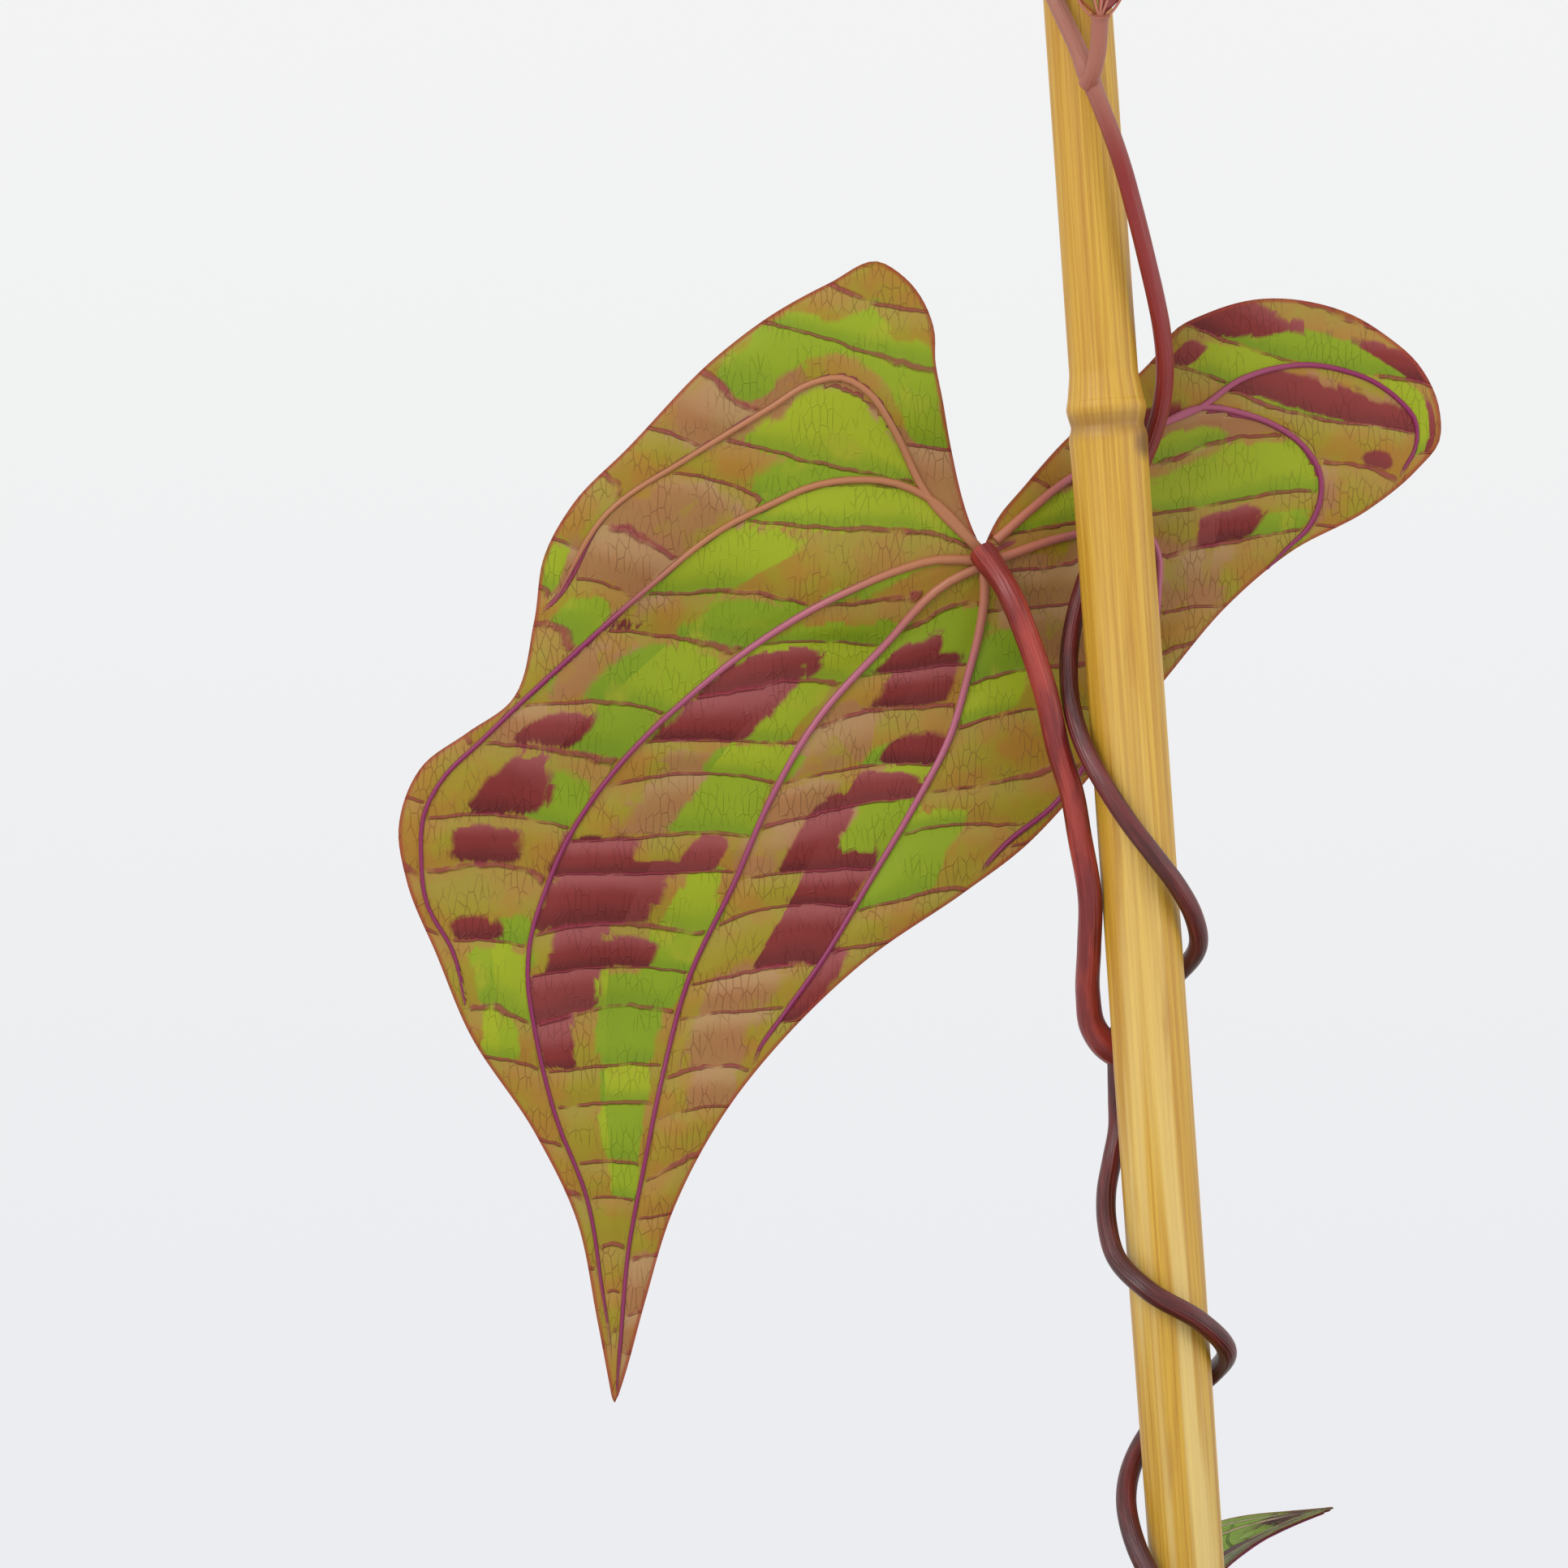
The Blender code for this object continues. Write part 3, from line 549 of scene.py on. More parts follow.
STEM_DARK, STEM_RUDDY = (0.05, 0.004, 0.005), (0.12, 0.012, 0.012)
STEM_YOUNG, STEM_FRESH = (0.33, 0.12, 0.08), (0.20, 0.008, 0.006)


def smooth_line(points, shares):
    """Points at the given shares of the length of a smooth curve through all the points."""
    p = np.array(points, float)
    span = np.linalg.norm(np.diff(p, axis=0), axis=1)[:, None]
    slope = np.diff(p, axis=0) / span
    between = (slope[:-1] * span[1:] + slope[1:] * span[:-1]) / (span[:-1] + span[1:])
    way = np.vstack([slope[:1], between, slope[-1:]])
    t = np.arange(16)[:, None] / 16
    runs = []
    for a, b, leave, arrive, far in zip(p, p[1:], way, way[1:], span):
        bend = leave * far * (t - 2 * t**2 + t**3) + arrive * far * (t**3 - t**2)
        runs.append(a + (b - a) * (3 * t**2 - 2 * t**3) + bend)
    dense = np.vstack(runs + [p[-1:]])
    length = np.concatenate([[0], np.cumsum(np.linalg.norm(np.diff(dense, axis=0), axis=1))])
    return np.array([np.interp(np.asarray(shares) * length[-1], length, axis) for axis in dense.T]).T


def pointing(turn, climb=0.0):
    """A way one long that points that far round the upright axis and that steeply up, in radians."""
    level = math.cos(climb)
    return np.array([math.cos(turn) * level, math.sin(turn) * level, math.sin(climb)])


def stem_spot(height):
    """Centre of the stem at a height above the soil, and the way out from the cane there."""
    heights = np.arange(0, 340, 0.5)
    twist = np.interp(heights, *zip(*sorted(TWINING)))
    kernel = np.hanning(13)
    padded = np.pad(twist, 6, mode="reflect", reflect_type="odd")
    calm = np.convolve(padded, kernel / kernel.sum(), mode="valid")
    angle = math.radians(np.interp(height / MM, heights, calm))
    bow = BOW * math.exp(-(((height / MM - BOW_HEIGHT) / BOW_SPAN) ** 2))
    out = pointing(angle)
    reach = CANE_DIAMETER / 2 * CANE_SWELL + STEM_DIAMETER / 2 + STEM_GAP + bow
    axis = np.array([CANE_FOOT[0] - math.tan(CANE_LEAN) * height, 0, SOIL_TOP + height])
    return axis + out * reach, out


def stem_route():
    crown = np.array([*TUBER_PLACE, SOIL_TOP + 6 * MM])
    coil = [stem_spot(height)[0] for height in np.arange(COIL_FOOT, COIL_TOP, COIL_STEP) * MM]
    start = crown + (0, 0, 0.3 * MM)
    climb = [crown - (0, 0, 1 * MM), start + np.array([0, 0, 2]) * MM]
    for share, lift in ((0.15, (0, 1, 3.5)), (0.4, (0, 2.2, 3.5)), (0.7, (0, 2, 1.5))):
        climb.append(start * (1 - share) + coil[0] * share + np.array(lift) * MM)
    moves = ((-3, -0.5, 4), (-7, 0, 8), (-12, 1, 11), (-17, 2, 12))
    return climb + coil + [coil[-1] + np.array(move) * MM for move in moves]


def stalk_tree():
    """A round stalk along each line of a curve, as thick as the line's radius says."""
    tree, start = geometry_tree("stalk", {"Sides": "Int", "Skin": "Material"})

    def marked(shape, name, value, kind):
        inputs = {"Geometry": shape, "Name": name, "Value": value}
        return wire(tree, "GeometryNodeStoreNamedAttribute", inputs, data_type=kind, domain="POINT")

    length = wire(tree, "GeometryNodeSplineParameter", output="Length")
    line = marked(start["Geometry"], "far", length, "FLOAT")
    ring = wire(tree, "GeometryNodeCurvePrimitiveCircle", {"Resolution": start["Sides"], "Radius": 1.0})
    ring = marked(ring, "spin", wire(tree, "GeometryNodeInputPosition"), "FLOAT_VECTOR")
    radius = wire(tree, "GeometryNodeInputRadius")
    inputs = {"Curve": line, "Profile Curve": ring, "Scale": radius, "Fill Caps": True}
    body = wire(tree, "GeometryNodeCurveToMesh", inputs)
    body = wire(tree, "GeometryNodeRealizeInstances", {0: body})
    body = wire(tree, "GeometryNodeSetShadeSmooth", {0: body})
    body = wire(tree, "GeometryNodeSetMaterial", {0: body, "Material": start["Skin"]})
    node(tree, "NodeGroupOutput", {0: body})
    return tree


STALK_TREE = stalk_tree()


def stalks(name, lines, sides, skin):
    """One mesh of round stalks, from (points, radii) for each."""
    curve = bpy.data.curves.new(name, "CURVE")
    curve.dimensions = "3D"
    for points, radii in lines:
        spline = curve.splines.new("POLY")
        spline.points.add(len(points) - 1)
        places = np.column_stack([points, np.ones(len(points))]).astype(np.float32)
        spline.points.foreach_set("co", places.ravel())
        spline.points.foreach_set("radius", np.asarray(radii, np.float32))
    return worked(loose_object(name, curve), STALK_TREE, {"Sides": sides, "Skin": skin})


def build_stem_skin(name, dark, ruddy, young, fresh=None):
    """Stalk skin: dark with a ruddy side and fine lengthwise ribs, turning fresh and then young high up."""
    material, tree, skin = new_material(name, 0.36, 0.5)
    along = wire(tree, "ShaderNodeCombineXYZ", {2: attribute(tree, "far", "Fac")})
    rod = wire(tree, "ShaderNodeVectorMath", {0: attribute(tree, "spin"), 1: along})
    ribs = grain(stretched(rod, (4, 4, 60)), 1.0, 3)
    blotch = grain(stretched(rod, (0.7, 0.7, 140), (3, 1, 2)), 1.0, 3)
    height = apart(own_place(tree))[2]
    base = blotch.step(0.38, 0.66).mix(dark, ruddy)
    if fresh:
        base = height.step(0.262, 0.292).mix(base, fresh)
    base = height.step(0.309, 0.322).mix(base, young)
    lit = tuple(min(1, part * 1.8 + 0.03) for part in ruddy)
    base = (ribs.step(0.5, 0.75) * 0.3).mix(base, lit)
    dress(skin, Base_Color=base, Normal=bump(ribs, 0.2 * MM, 0.9))
    return material


def build_stem():
    share = np.linspace(0, 1, 1100)
    points = smooth_line(stem_route(), share)
    radii = STEM_DIAMETER / 2 * np.interp(share, *STEM_TAPER)
    for height in LEAF_NODES.values():
        knot, _ = stem_spot(height * MM)
        near = np.linalg.norm(points - knot, axis=1) / MM
        radii *= 1 + KNOT_SWELL * np.exp(-((near / KNOT_SPAN) ** 2))
    skin = build_stem_skin("stem_skin", STEM_DARK, STEM_RUDDY, STEM_YOUNG, STEM_FRESH)
    return stalks("stem_line", [(points, radii)], 24, skin)


add_piece("twining_stem", build_stem(), "stem", "main_stem")

# --------------------------------------------------------------------------------------------------
# The leaves: thin heart-shaped blades on long red stalks. Each blade is olive and lime with maroon
# patches below and darker above, with arching raised veins that start together where the stalk
# joins it.

BLADE_THICKNESS, PETIOLE_DIAMETER = 0.4 * MM, 2.5 * MM
RUNG_GAP = 4.4  # mm between the small veins that join the long ones
VEIN_DIP, EDGE_DIP, THIN_EDGE = 1.6, 2.5, 1.2  # mm over which a blade sinks or thins by them
MAIN_NET, PLAIN_NET = (170, 210), (64, 72)  # cells across a blade and along it
MAIN_PUFF, PLAIN_PUFF = -0.3, 0.5  # mm that the tissue rises between the veins
VEIN_TAPER = (0, 12, 45, 100), (0.56, 0.40, 0.28, 0.17)  # mm from the stalk, and a long vein's radius there
# The main leaf laid flat, seen from below: lines from its stalk to its tip, from its left edge to its
# right, and how fast the net's cells grow along each.
TIP = (-38.5, -89.5)
MAIN_LINES = (
    ((0, 0.3), (-1, 2.4), (-3.4, 11), (-4.3, 15.5), (-5.1, 19.5), (-5.2, 22.5), (-8.2, 28), (-11, 29.7),
     (-16, 27.5), (-22, 24.2), (-27.6, 20), (-37, 10.4), (-42.5, 4.8), (-45.5, -0.5), (-46.6, -7.2),
     (-49, -15.5), (-53.6, -18.8), (-58.3, -22.3), (-60.7, -28.6), (-59.9, -34.2), (-56.8, -42),
     (-53.5, -50), (-46.6, -60.8), (-42.5, -69.5), (-40.3, -80), TIP),
    ((0, 0.1), (-4.9, 0.6), (-9.8, 0.2), (-18.6, -4.2), (-30.6, -14.3), (-38.4, -22.6), (-44, -31.2),
     (-46.1, -39.7), (-45.6, -49.6), (-42, -60), (-40, -70), (-39.1, -80), TIP),
    ((0, 0), (-3.5, -2.9), (-10.4, -9.7), (-17.3, -17.4), (-22.1, -25.6), (-26, -34.6), (-30.5, -44.5),
     (-33.5, -54.8), (-35.4, -64.2), (-37, -73.5), (-37.9, -82.3), TIP),
    ((0, 0.1), (0.4, -3.5), (-0.2, -8), (-2, -12.5), (-5.5, -20), (-10, -28), (-15.5, -36), (-23, -46),
     (-29.6, -56), (-33.2, -65), (-35.9, -75), (-37.5, -84), TIP),
    ((0, 0.2), (3.5, 2.4), (9, 6.8), (16, 11.8), (24, 15.6), (32, 16), (37, 12.5), (35, 7), (29, 1),
     (21.5, -7), (13.5, -16.2), (5, -25.2), (-4, -33), (-13, -40.7), (-21.6, -49.6), (-27.8, -58.2),
     (-32.2, -67.5), (-35.1, -77), (-37.2, -85), TIP),
    ((0, 0.3), (1.6, 3.6), (4.4, 7), (8.8, 12), (15, 17.6), (18.8, 21.4), (20.6, 23.9), (24.2, 25.8),
     (29, 27.2), (35, 27.1), (39.5, 25.8), (43.2, 23.6), (46.8, 20.4), (49, 15.6), (49, 12.4),
     (46.6, 9.3), (41.5, 5.1), (33.2, 0.6), (26.4, -5.1), (19.6, -13), (10, -25.2), (4.6, -30.8),
     (-1.5, -35.4), (-12.2, -42.8), (-20.8, -51), (-27.4, -59.4), (-32.4, -69), (-35.3, -78.5),
     (-37.5, -86.5), TIP),
)
MAIN_PACES = (1, 1.15, 1.35, 1.35, 1.15, 1)
DEPTH_SPREAD = 10
MAIN_DEPTHS = (  # (right, up, how far back from the stalk's end)
    (0, 0, 2), (-8, 26, -4), (-24, 20, -4), (-38, 8, -3), (-20, 5, 0.5), (-46, -10, -0.5), (-60, -28, 0),
    (-56, -43, 1.5), (-46, -60, 3.5), (-38.5, -89, 5), (-30, -15, 4), (-44, -35, 4), (-22, -25, 8),
    (-31, -45, 8.5), (-35, -64, 6.5), (-5, -18, 8), (-10, -34, 9.3), (-22, -50, 8), (8, -10, 9),
    (15, 4, 10.5), (12, -20, 10.6), (20, 22, 11.2), (30, 10, 13.2), (45, 20, 13.2), (48, 10, 14.2),
    (34, -2, 13.4),
)
# The main leaf's long veins from left to right, each as far as it is raised, and where it would leave
# the blade.
LEFT_3 = (
    (-0.5, 0.5), (-5.7, 5.7), (-9.6, 13.1), (-11.7, 16.1), (-14.7, 17.8), (-17.8, 17.3), (-22.1, 14.8),
    (-30.6, 9.6), (-39.2, 3.6), (-44.4, -5),
)
LEFT_2 = (
    (-0.5, 0.5), (-5.7, 5.7), (-9.2, 7.2), (-13.5, 7.5), (-17.8, 6.8), (-22.1, 4.9), (-26.4, 2.8),
    (-34.9, -3.7), (-43.5, -11.5), (-52.1, -19.6), (-56.4, -23.9), (-58.1, -27.3), (-58.4, -31.6),
    (-57.8, -36.7), (-55.2, -41.4), (-53.9, -47.1),
)
LEFT_1 = (
    (-1, -0.7), (-4.9, -0.7), (-9.2, -1.9), (-13.5, -3.7), (-17.8, -5.8), (-22.1, -8.4), (-30.6, -14.9),
    (-38.4, -22.6), (-44, -31.2), (-45.7, -35.4), (-47.1, -39.7), (-47.5, -44.5), (-46.8, -49.6),
    (-44.5, -59.1), (-41.4, -67.3), (-39.7, -77.5), (-39.2, -80.5),
)
MIDDLE = (
    (-0.6, -1.5), (-3.5, -2.9), (-10.4, -9.7), (-17.3, -17.4), (-22.1, -25.6), (-26, -34.6),
    (-30.7, -44.5), (-33.5, -54.8), (-35.4, -64.2), (-37, -72.8), (-37.8, -82.3), (-38.2, -87.5),
)
RIGHT_1 = (
    (0, -1.2), (0.2, -4.1), (-0.2, -7.6), (-1.4, -12.7), (-3.1, -18.7), (-7, -26.4), (-11.3, -33.7),
    (-17.3, -43.6), (-20.4, -47.9), (-23.4, -52.2),
)
RIGHT_2 = (
    (0.8, -0.8), (9, 1.9), (17.3, 2.9), (18.7, 0.5), (18.8, -3.5), (18.2, -8.8), (13.6, -18),
    (7.4, -26.7), (2.8, -30.3), (0.6, -32.7),
)
RIGHT_3 = (
    (1.3, 1.3), (5.1, 4.7), (8.8, 7.7), (14.1, 10.9), (18.9, 13.8), (23.4, 15.8), (28, 15.2),
    (31.7, 13.8), (34.7, 11.5), (36.2, 8.9), (36.2, 5.9), (35.1, 3.3), (32.4, 0.6), (30.6, -1.3),
)
RIGHT_4 = RIGHT_3[:6] + (
    (27.5, 18.7), (31.3, 20), (35.1, 20.4), (38.8, 19.8), (41.8, 18.7), (44.5, 16.8), (46.4, 14.5),
    (46.4, 11.5), (45.2, 9.3),
)
MAIN_VEINS = (LEFT_3, LEFT_2, LEFT_1, MIDDLE, RIGHT_1, RIGHT_2, RIGHT_3, RIGHT_4)
MAIN_WAYS_OUT = ((-62, -9), (-61, -64), (-40, -100), (-39, -100), (-24, -60), (-1, -42), (28, -10), (46, 2))
# From strip to strip between them: how wide apart the small veins are, and how much they rise.
MAIN_STRIPS = (
    (1.6, -0.3), (1.6, -0.35), (1.5, -0.12), (1.1, 0.02), (1.1, 0.15), (1.25, 0.15), (1.2, 0.2),
    (1.3, -0.2), (1.3, -0.3),
)
# Where the main leaf is mottled, as (right, up, width, height).
MAROON_PATCHES = (
    (-42.4, -16.3, 5.5, 5), (-45.8, -22.3, 6, 4), (-50.3, -27.2, 6.5, 5), (-52.2, -32.9, 8.5, 5),
    (-52.6, -39.2, 6, 3), (-24.4, -14.4, 7, 6), (-19.9, -9.9, 5, 3.5), (-28.2, -18.9, 4, 4),
    (-7.1, -14.8, 8, 6), (-7.5, -11.4, 5, 3), (-9.4, -23.1, 7, 3.5), (-5.6, -18.2, 5.5, 2.6),
    (-38.7, -34, 12, 6), (-41, -31, 9, 5), (-37.2, -40, 8, 3.5), (-43, -43, 6, 11), (-44.5, -52, 4.5, 9),
    (-16.5, -35, 7, 6), (-16, -39, 6, 5), (-16.9, -29, 4.5, 6), (-20.6, -41, 4, 6), (36.1, 17.9, 8.5, 3),
    (28.2, 25.4, 5, 4), (36.9, 25, 3, 3), (26.3, 5.1, 7, 4), (42.5, 11.1, 4, 2), (23, 22.4, 2.5, 4),
    (-34.6, -5.8, 3.4, 2.3), (-30, -33, 4, 4),
)
LIME_PATCHES = (
    (-12.4, 3.6, 17, 7), (-15.4, 11.1, 10, 8), (-13.1, 21.3, 6, 8), (-6.4, 14.1, 4.5, 9),
    (-30.8, -3.9, 6, 4.5), (-22.9, -5.4, 7, 5), (-30.4, -10.7, 9, 5), (-36.8, -16.7, 6, 6),
    (-40.6, -22, 5, 4), (-45, -26.5, 6, 4.5), (-13.9, -8.4, 9, 7), (-19.9, -15.2, 5, 4.5),
    (-22.9, -20, 8, 4), (-25.9, -25, 8, 4.5), (-3.4, -10.7, 4, 3), (-2.6, -6.2, 7, 4),
    (-7.9, -19.7, 6, 2), (-10.9, -28.7, 6, 9), (-28.9, -33.2, 4, 5), (-30.8, -38.5, 6, 6.5),
    (-33.4, -43.7, 6, 5), (-37.2, -50.5, 7, 8), (-37.6, -58.8, 5, 9), (-37.6, -65, 3, 5),
    (-50, -43, 6, 5), (-48.8, -37, 4.5, 3), (25.2, 19.4, 7, 5), (32, 10.7, 8, 4), (19.2, 10.4, 4.5, 4),
    (41, 20.9, 5.5, 3), (29.7, 1, 4, 2.3), (40.3, 13.4, 7.5, 2.5), (-6.4, -30.2, 7, 7),
    (1.2, -14.4, 7, 8), (-50, -50, 4, 6), (30, 22.5, 5, 4), (12, 5.5, 6, 4), (-40, -5, 5, 4),
    (-22, 20, 6, 4), (-44, 0, 3, 6),
)
ROSY_PATCHES = (
    (-34.9, 2.1, 14, 9), (-24.4, 11.9, 11, 9), (-41.7, -12.9, 10, 5), (-17, -22, 7, 6),
    (-27.4, -50.5, 6, 14), (7, -2, 9, 7), (6.4, -8.4, 8, 7), (21.5, 11.9, 10, 5), (-47.7, -19, 7, 5),
    (-32, -25, 8, 8), (-22, -32, 6, 8), (-36, -80, 5, 14), (33, 17, 9, 3), (22, -3, 8, 5),
    (-14, -30, 5, 8), (-12, -17, 5, 6), (-29, 5, 8, 6),
)

# Half of a plain leaf laid flat, as (along, across) for a length of 1.
MIDRIB = ((0, 0), (0.25, 0), (0.5, 0), (0.75, 0), (1, 0))
HALF_LINE = (
    (0, 0), (0.01, 0.07), (0.07, 0.19), (0.2, 0.27), (0.38, 0.28), (0.56, 0.21), (0.75, 0.1),
    (0.9, 0.03), (1, 0),
)
HALF_EDGE = (
    (0, 0), (-0.05, 0.022), (-0.14, 0.05), (-0.23, 0.11), (-0.26, 0.21), (-0.21, 0.34), (-0.08, 0.45),
    (0.09, 0.5), (0.27, 0.475), (0.44, 0.395), (0.61, 0.27), (0.77, 0.145), (0.9, 0.05), (1, 0),
)
YOUNG_LINE = (
    (0, 0), (0.06, 0.06), (0.18, 0.16), (0.33, 0.23), (0.5, 0.22), (0.66, 0.15), (0.82, 0.06), (1, 0),
)
YOUNG_EDGE = (
    (0, 0), (0.03, 0.09), (0.1, 0.23), (0.2, 0.37), (0.33, 0.46), (0.48, 0.44), (0.62, 0.33),
    (0.76, 0.19), (0.88, 0.07), (1, 0),
)
PLAIN_PACES = (1, 1.1, 1.3, 1.1, 1)
MIDDLE_VEIN = ((0, 0), (0.3, 0), (0.6, 0), (0.985, 0))
VEIN_1 = (
    (0, 0), (0.05, 0.045), (0.2, 0.13), (0.38, 0.175), (0.56, 0.155), (0.75, 0.085), (0.9, 0.028),
    (0.97, 0.01),
)
VEIN_2 = (
    (0, 0), (0.01, 0.07), (0.07, 0.19), (0.2, 0.29), (0.38, 0.315), (0.56, 0.25), (0.75, 0.125),
    (0.9, 0.036),
)
VEIN_3 = (
    (0, 0), (-0.05, 0.06), (-0.12, 0.17), (-0.1, 0.3), (0.03, 0.395), (0.22, 0.415), (0.42, 0.36),
    (0.6, 0.25), (0.77, 0.13), (0.88, 0.055),
)
# Each plain leaf's stalk above the soil, length, heading, slope, bend, tilt, width for its length and fold.
PLAIN_LEAVES = {
    1: (((20, 18, 24), (27, 32, 32)), 74, 64, -8, 50, 4, 0.95, 0.35),
    2: (((5, -16, 36), (12, -35, 38)), 80, -68, -4, 58, -6, 0.92, 0.35),
    3: (((-20, 12, 48), (-40, 15, 54)), 80, 160, -2, 52, 6, 0.88, 0.35),
    4: (((18, -3, 56), (36, -4, 56)), 80, -4, -10, 52, 6, 0.92, 0.35),
    5: (((-4, 15, 44), (-16, 27, 38)), 48, -6, 74, 58, 20, 0.6, 0.35),
    6: (((-14, -12, 44), (-30, -23, 50)), 84, 222, -6, 55, -4, 0.88, 0.35),
    8: (((-11.3, -9.5, 227),), 46, -75, 74, 20, 0, 0.42, 0.3),
    9: (((4, 14, 276), (14, 20, 288)), 52, 24, 6, 50, 8, 0.85, 0.35),
    10: (((-30, -8, 302), (-40, -10, 310)), 42, 196, 10, 45, -8, 0.75, 0.5),
}
YOUNG_LEAF = 8
STALK_SIDES = {7: 195, YOUNG_LEAF: -69}  # degrees: the side of the stem that these stalks rise along
MAIN_LEAF_BASE = (-22.8, 0, 173.1)
MAIN_PETIOLE = (
    (-11.8, 3, 127), (-11.8, 0.8, 132), (-11.8, -1, 137), (-12.9, -1.4, 143.5), (-13.7, -1.5, 148),
    (-15.1, -1.6, 152.5), (-16.4, -1.7, 158.3), (-18, -1.4, 163.3), (-20.3, -0.6, 169),
)


def flat_net(lines, paces, columns, cells, first):
    """A net over a leaf laid flat: columns go from line to line across it and cells from base to tip."""
    stride = np.linspace(0, 1, cells + 1)
    last = 0.993
    rows = np.array([
        smooth_line(line, first + (last - first) * stride**pace) for line, pace in zip(lines, paces)
    ])
    across = np.linspace(0, len(lines) - 1, columns + 1)
    left = np.minimum(across.astype(int), len(lines) - 2)
    share = (across - left)[:, None, None]
    return rows[left] * (1 - share) + rows[left + 1] * share


def main_leaf_place(flat):
    """Where a spot (right, up) of the flat main leaf is: as deep as the listed spots about it."""
    spots = np.array(MAIN_DEPTHS, float)
    gap = ((flat[..., None, :] - spots[:, :2]) ** 2).sum(-1)
    weight = np.exp(-gap / DEPTH_SPREAD**2)
    back = (weight * spots[:, 2]).sum(-1) / weight.sum(-1)
    base = np.array(MAIN_LEAF_BASE) * MM + (0, 0, SOIL_TOP)
    return base + np.stack([flat[..., 0], back, flat[..., 1]], -1) * MM


def plain_leaf_place(base, length, heading, slope, bend, tilt, width, fold):
    """The same for a plain leaf of that length in mm, laid flat with its tip down."""
    heading, slope, bend, tilt = (math.radians(value) for value in (heading, slope, bend, tilt))
    forward, aside = pointing(heading), pointing(heading + math.pi / 2)
    upward = np.array([0, 0, 1.0])

    def place(flat):
        u, v = -flat[..., 1:] / length, flat[..., :1] / length
        turned_by = bend * u
        chord = np.sinc(turned_by / 2 / math.pi)
        ahead = forward * np.cos(slope - turned_by / 2) + upward * np.sin(slope - turned_by / 2)
        normal = upward * np.cos(slope - turned_by) - forward * np.sin(slope - turned_by)
        across = aside * math.cos(tilt) + normal * math.sin(tilt)
        lift = normal * math.cos(tilt) - aside * math.sin(tilt)
        wave = 0.14 * np.sin(9 * u + 4 * v) * v * v
        rise = fold * np.sqrt(v * v + 0.0004) - 0.9 * v * v + wave
        return base + (ahead * u * chord + across * v * width + lift * rise) * length * MM

    return place


def from_line(line, spots):
    """How far each spot is from the line, and whether it lies on the line's right."""
    p = smooth_line(line, np.linspace(0, 1, 70))
    best = np.full(len(spots), 1e9)
    past = np.zeros(len(spots), bool)
    for a, b in zip(p, p[1:]):
        way = b - a
        share = np.clip(((spots - a) @ way) / max(way @ way, 1e-12), 0, 1)
        gap = np.linalg.norm(spots - a - share[:, None] * way, axis=1)
        side = way[0] * (spots[:, 1] - a[1]) - way[1] * (spots[:, 0] - a[0])
        nearer = gap < best - 1e-9
        best = np.where(nearer, gap, best)
        past = np.where(nearer, side > 0, past)
    return best, past


def vein_net(veins, ways_out, keel, edges, spots):
    """For each spot: its place among the veins (whole numbers lie on them), the room between the two veins
    beside it, and its distance from the leaf's edge. The keel is the middle vein's number."""
    reach, side = zip(*[from_line(vein + (out,), spots) for vein, out in zip(veins, ways_out)])
    reach, side = np.array(reach), np.array(side)
    edge = np.min([from_line(line, spots)[0] for line in edges], axis=0)
    notch = ((0.2, 40), (0, 8)) + veins[keel] + (ways_out[keel],)
    right_half = from_line(notch, spots)[1]
    sector = np.where(right_half, keel + 1 + side[keel + 1 :].sum(0), side[:keel].sum(0))
    rows = np.arange(len(spots))
    left = np.where(sector > 0, reach[np.maximum(sector - 1, 0), rows], edge)
    right = np.where(sector < len(veins), reach[np.minimum(sector, len(veins) - 1), rows], edge)
    room = left + right + 1e-6
    share = left / room
    share = np.where(sector == 0, 0.55 + 0.45 * share, share)
    share = np.where(sector == len(veins), 0.45 * share, share)
    room = np.where((sector == 0) | (sector == len(veins)), room / 0.45, room)
    return sector + share, room, edge


def rung_phase(among, spots, strips):
    """A number that passes a half at each of the small cross veins, which start afresh at each long vein.
    Strips give how wide apart they are between two long veins, and how much they rise to the right."""
    right, up = spots.T
    strip = np.clip(among.astype(int), 0, len(strips) - 1)
    apart_by, rise = np.array(strips).T
    share = among - np.floor(among)
    uneven = 0.14 * np.sin(0.55 * up + 1.7 * strip) + 0.06 * np.sin(0.3 * right + 0.2 * up)
    level = (up - rise[strip] * right) / (RUNG_GAP * apart_by[strip])
    return level - 0.55 * share * (1 - share) + 0.45 * np.sin(2.3 * strip + 0.7) + uneven


def blocks(listed, net, strips, spots, among, phase):
    """How far each spot is in the listed patches, which lie along the veins and end at the cross veins."""
    centres = np.array(listed, float)[:, :2]
    at, room, _ = net(centres)
    level = rung_phase(at, centres, strips)
    total = np.zeros(len(spots))
    for (_, _, width, height), a, wide, b in zip(listed, at, room, level):
        half = min(0.5 * width / wide, 0.95)
        gap = RUNG_GAP * strips[int(a)][0]
        low = round(b - height / gap / 2 - 0.5) + 0.5
        high = low + 1.1 * height / gap
        inside = np.clip((phase - low) / 0.2 + 0.5, 0, 1) * np.clip((high - phase) / 0.4 + 0.5, 0, 1)
        total = np.maximum(total, inside * np.exp(-((np.abs(among - a) / half) ** 4)))
    return total


def clouds(spots, size, seed):
    """Even soft mottling from 0 to 1 over a leaf, each seed its own."""
    return np.array([noise.noise(Vector((x / size, y / size, seed * 7.3))) for x, y in spots]) * 0.9 + 0.5


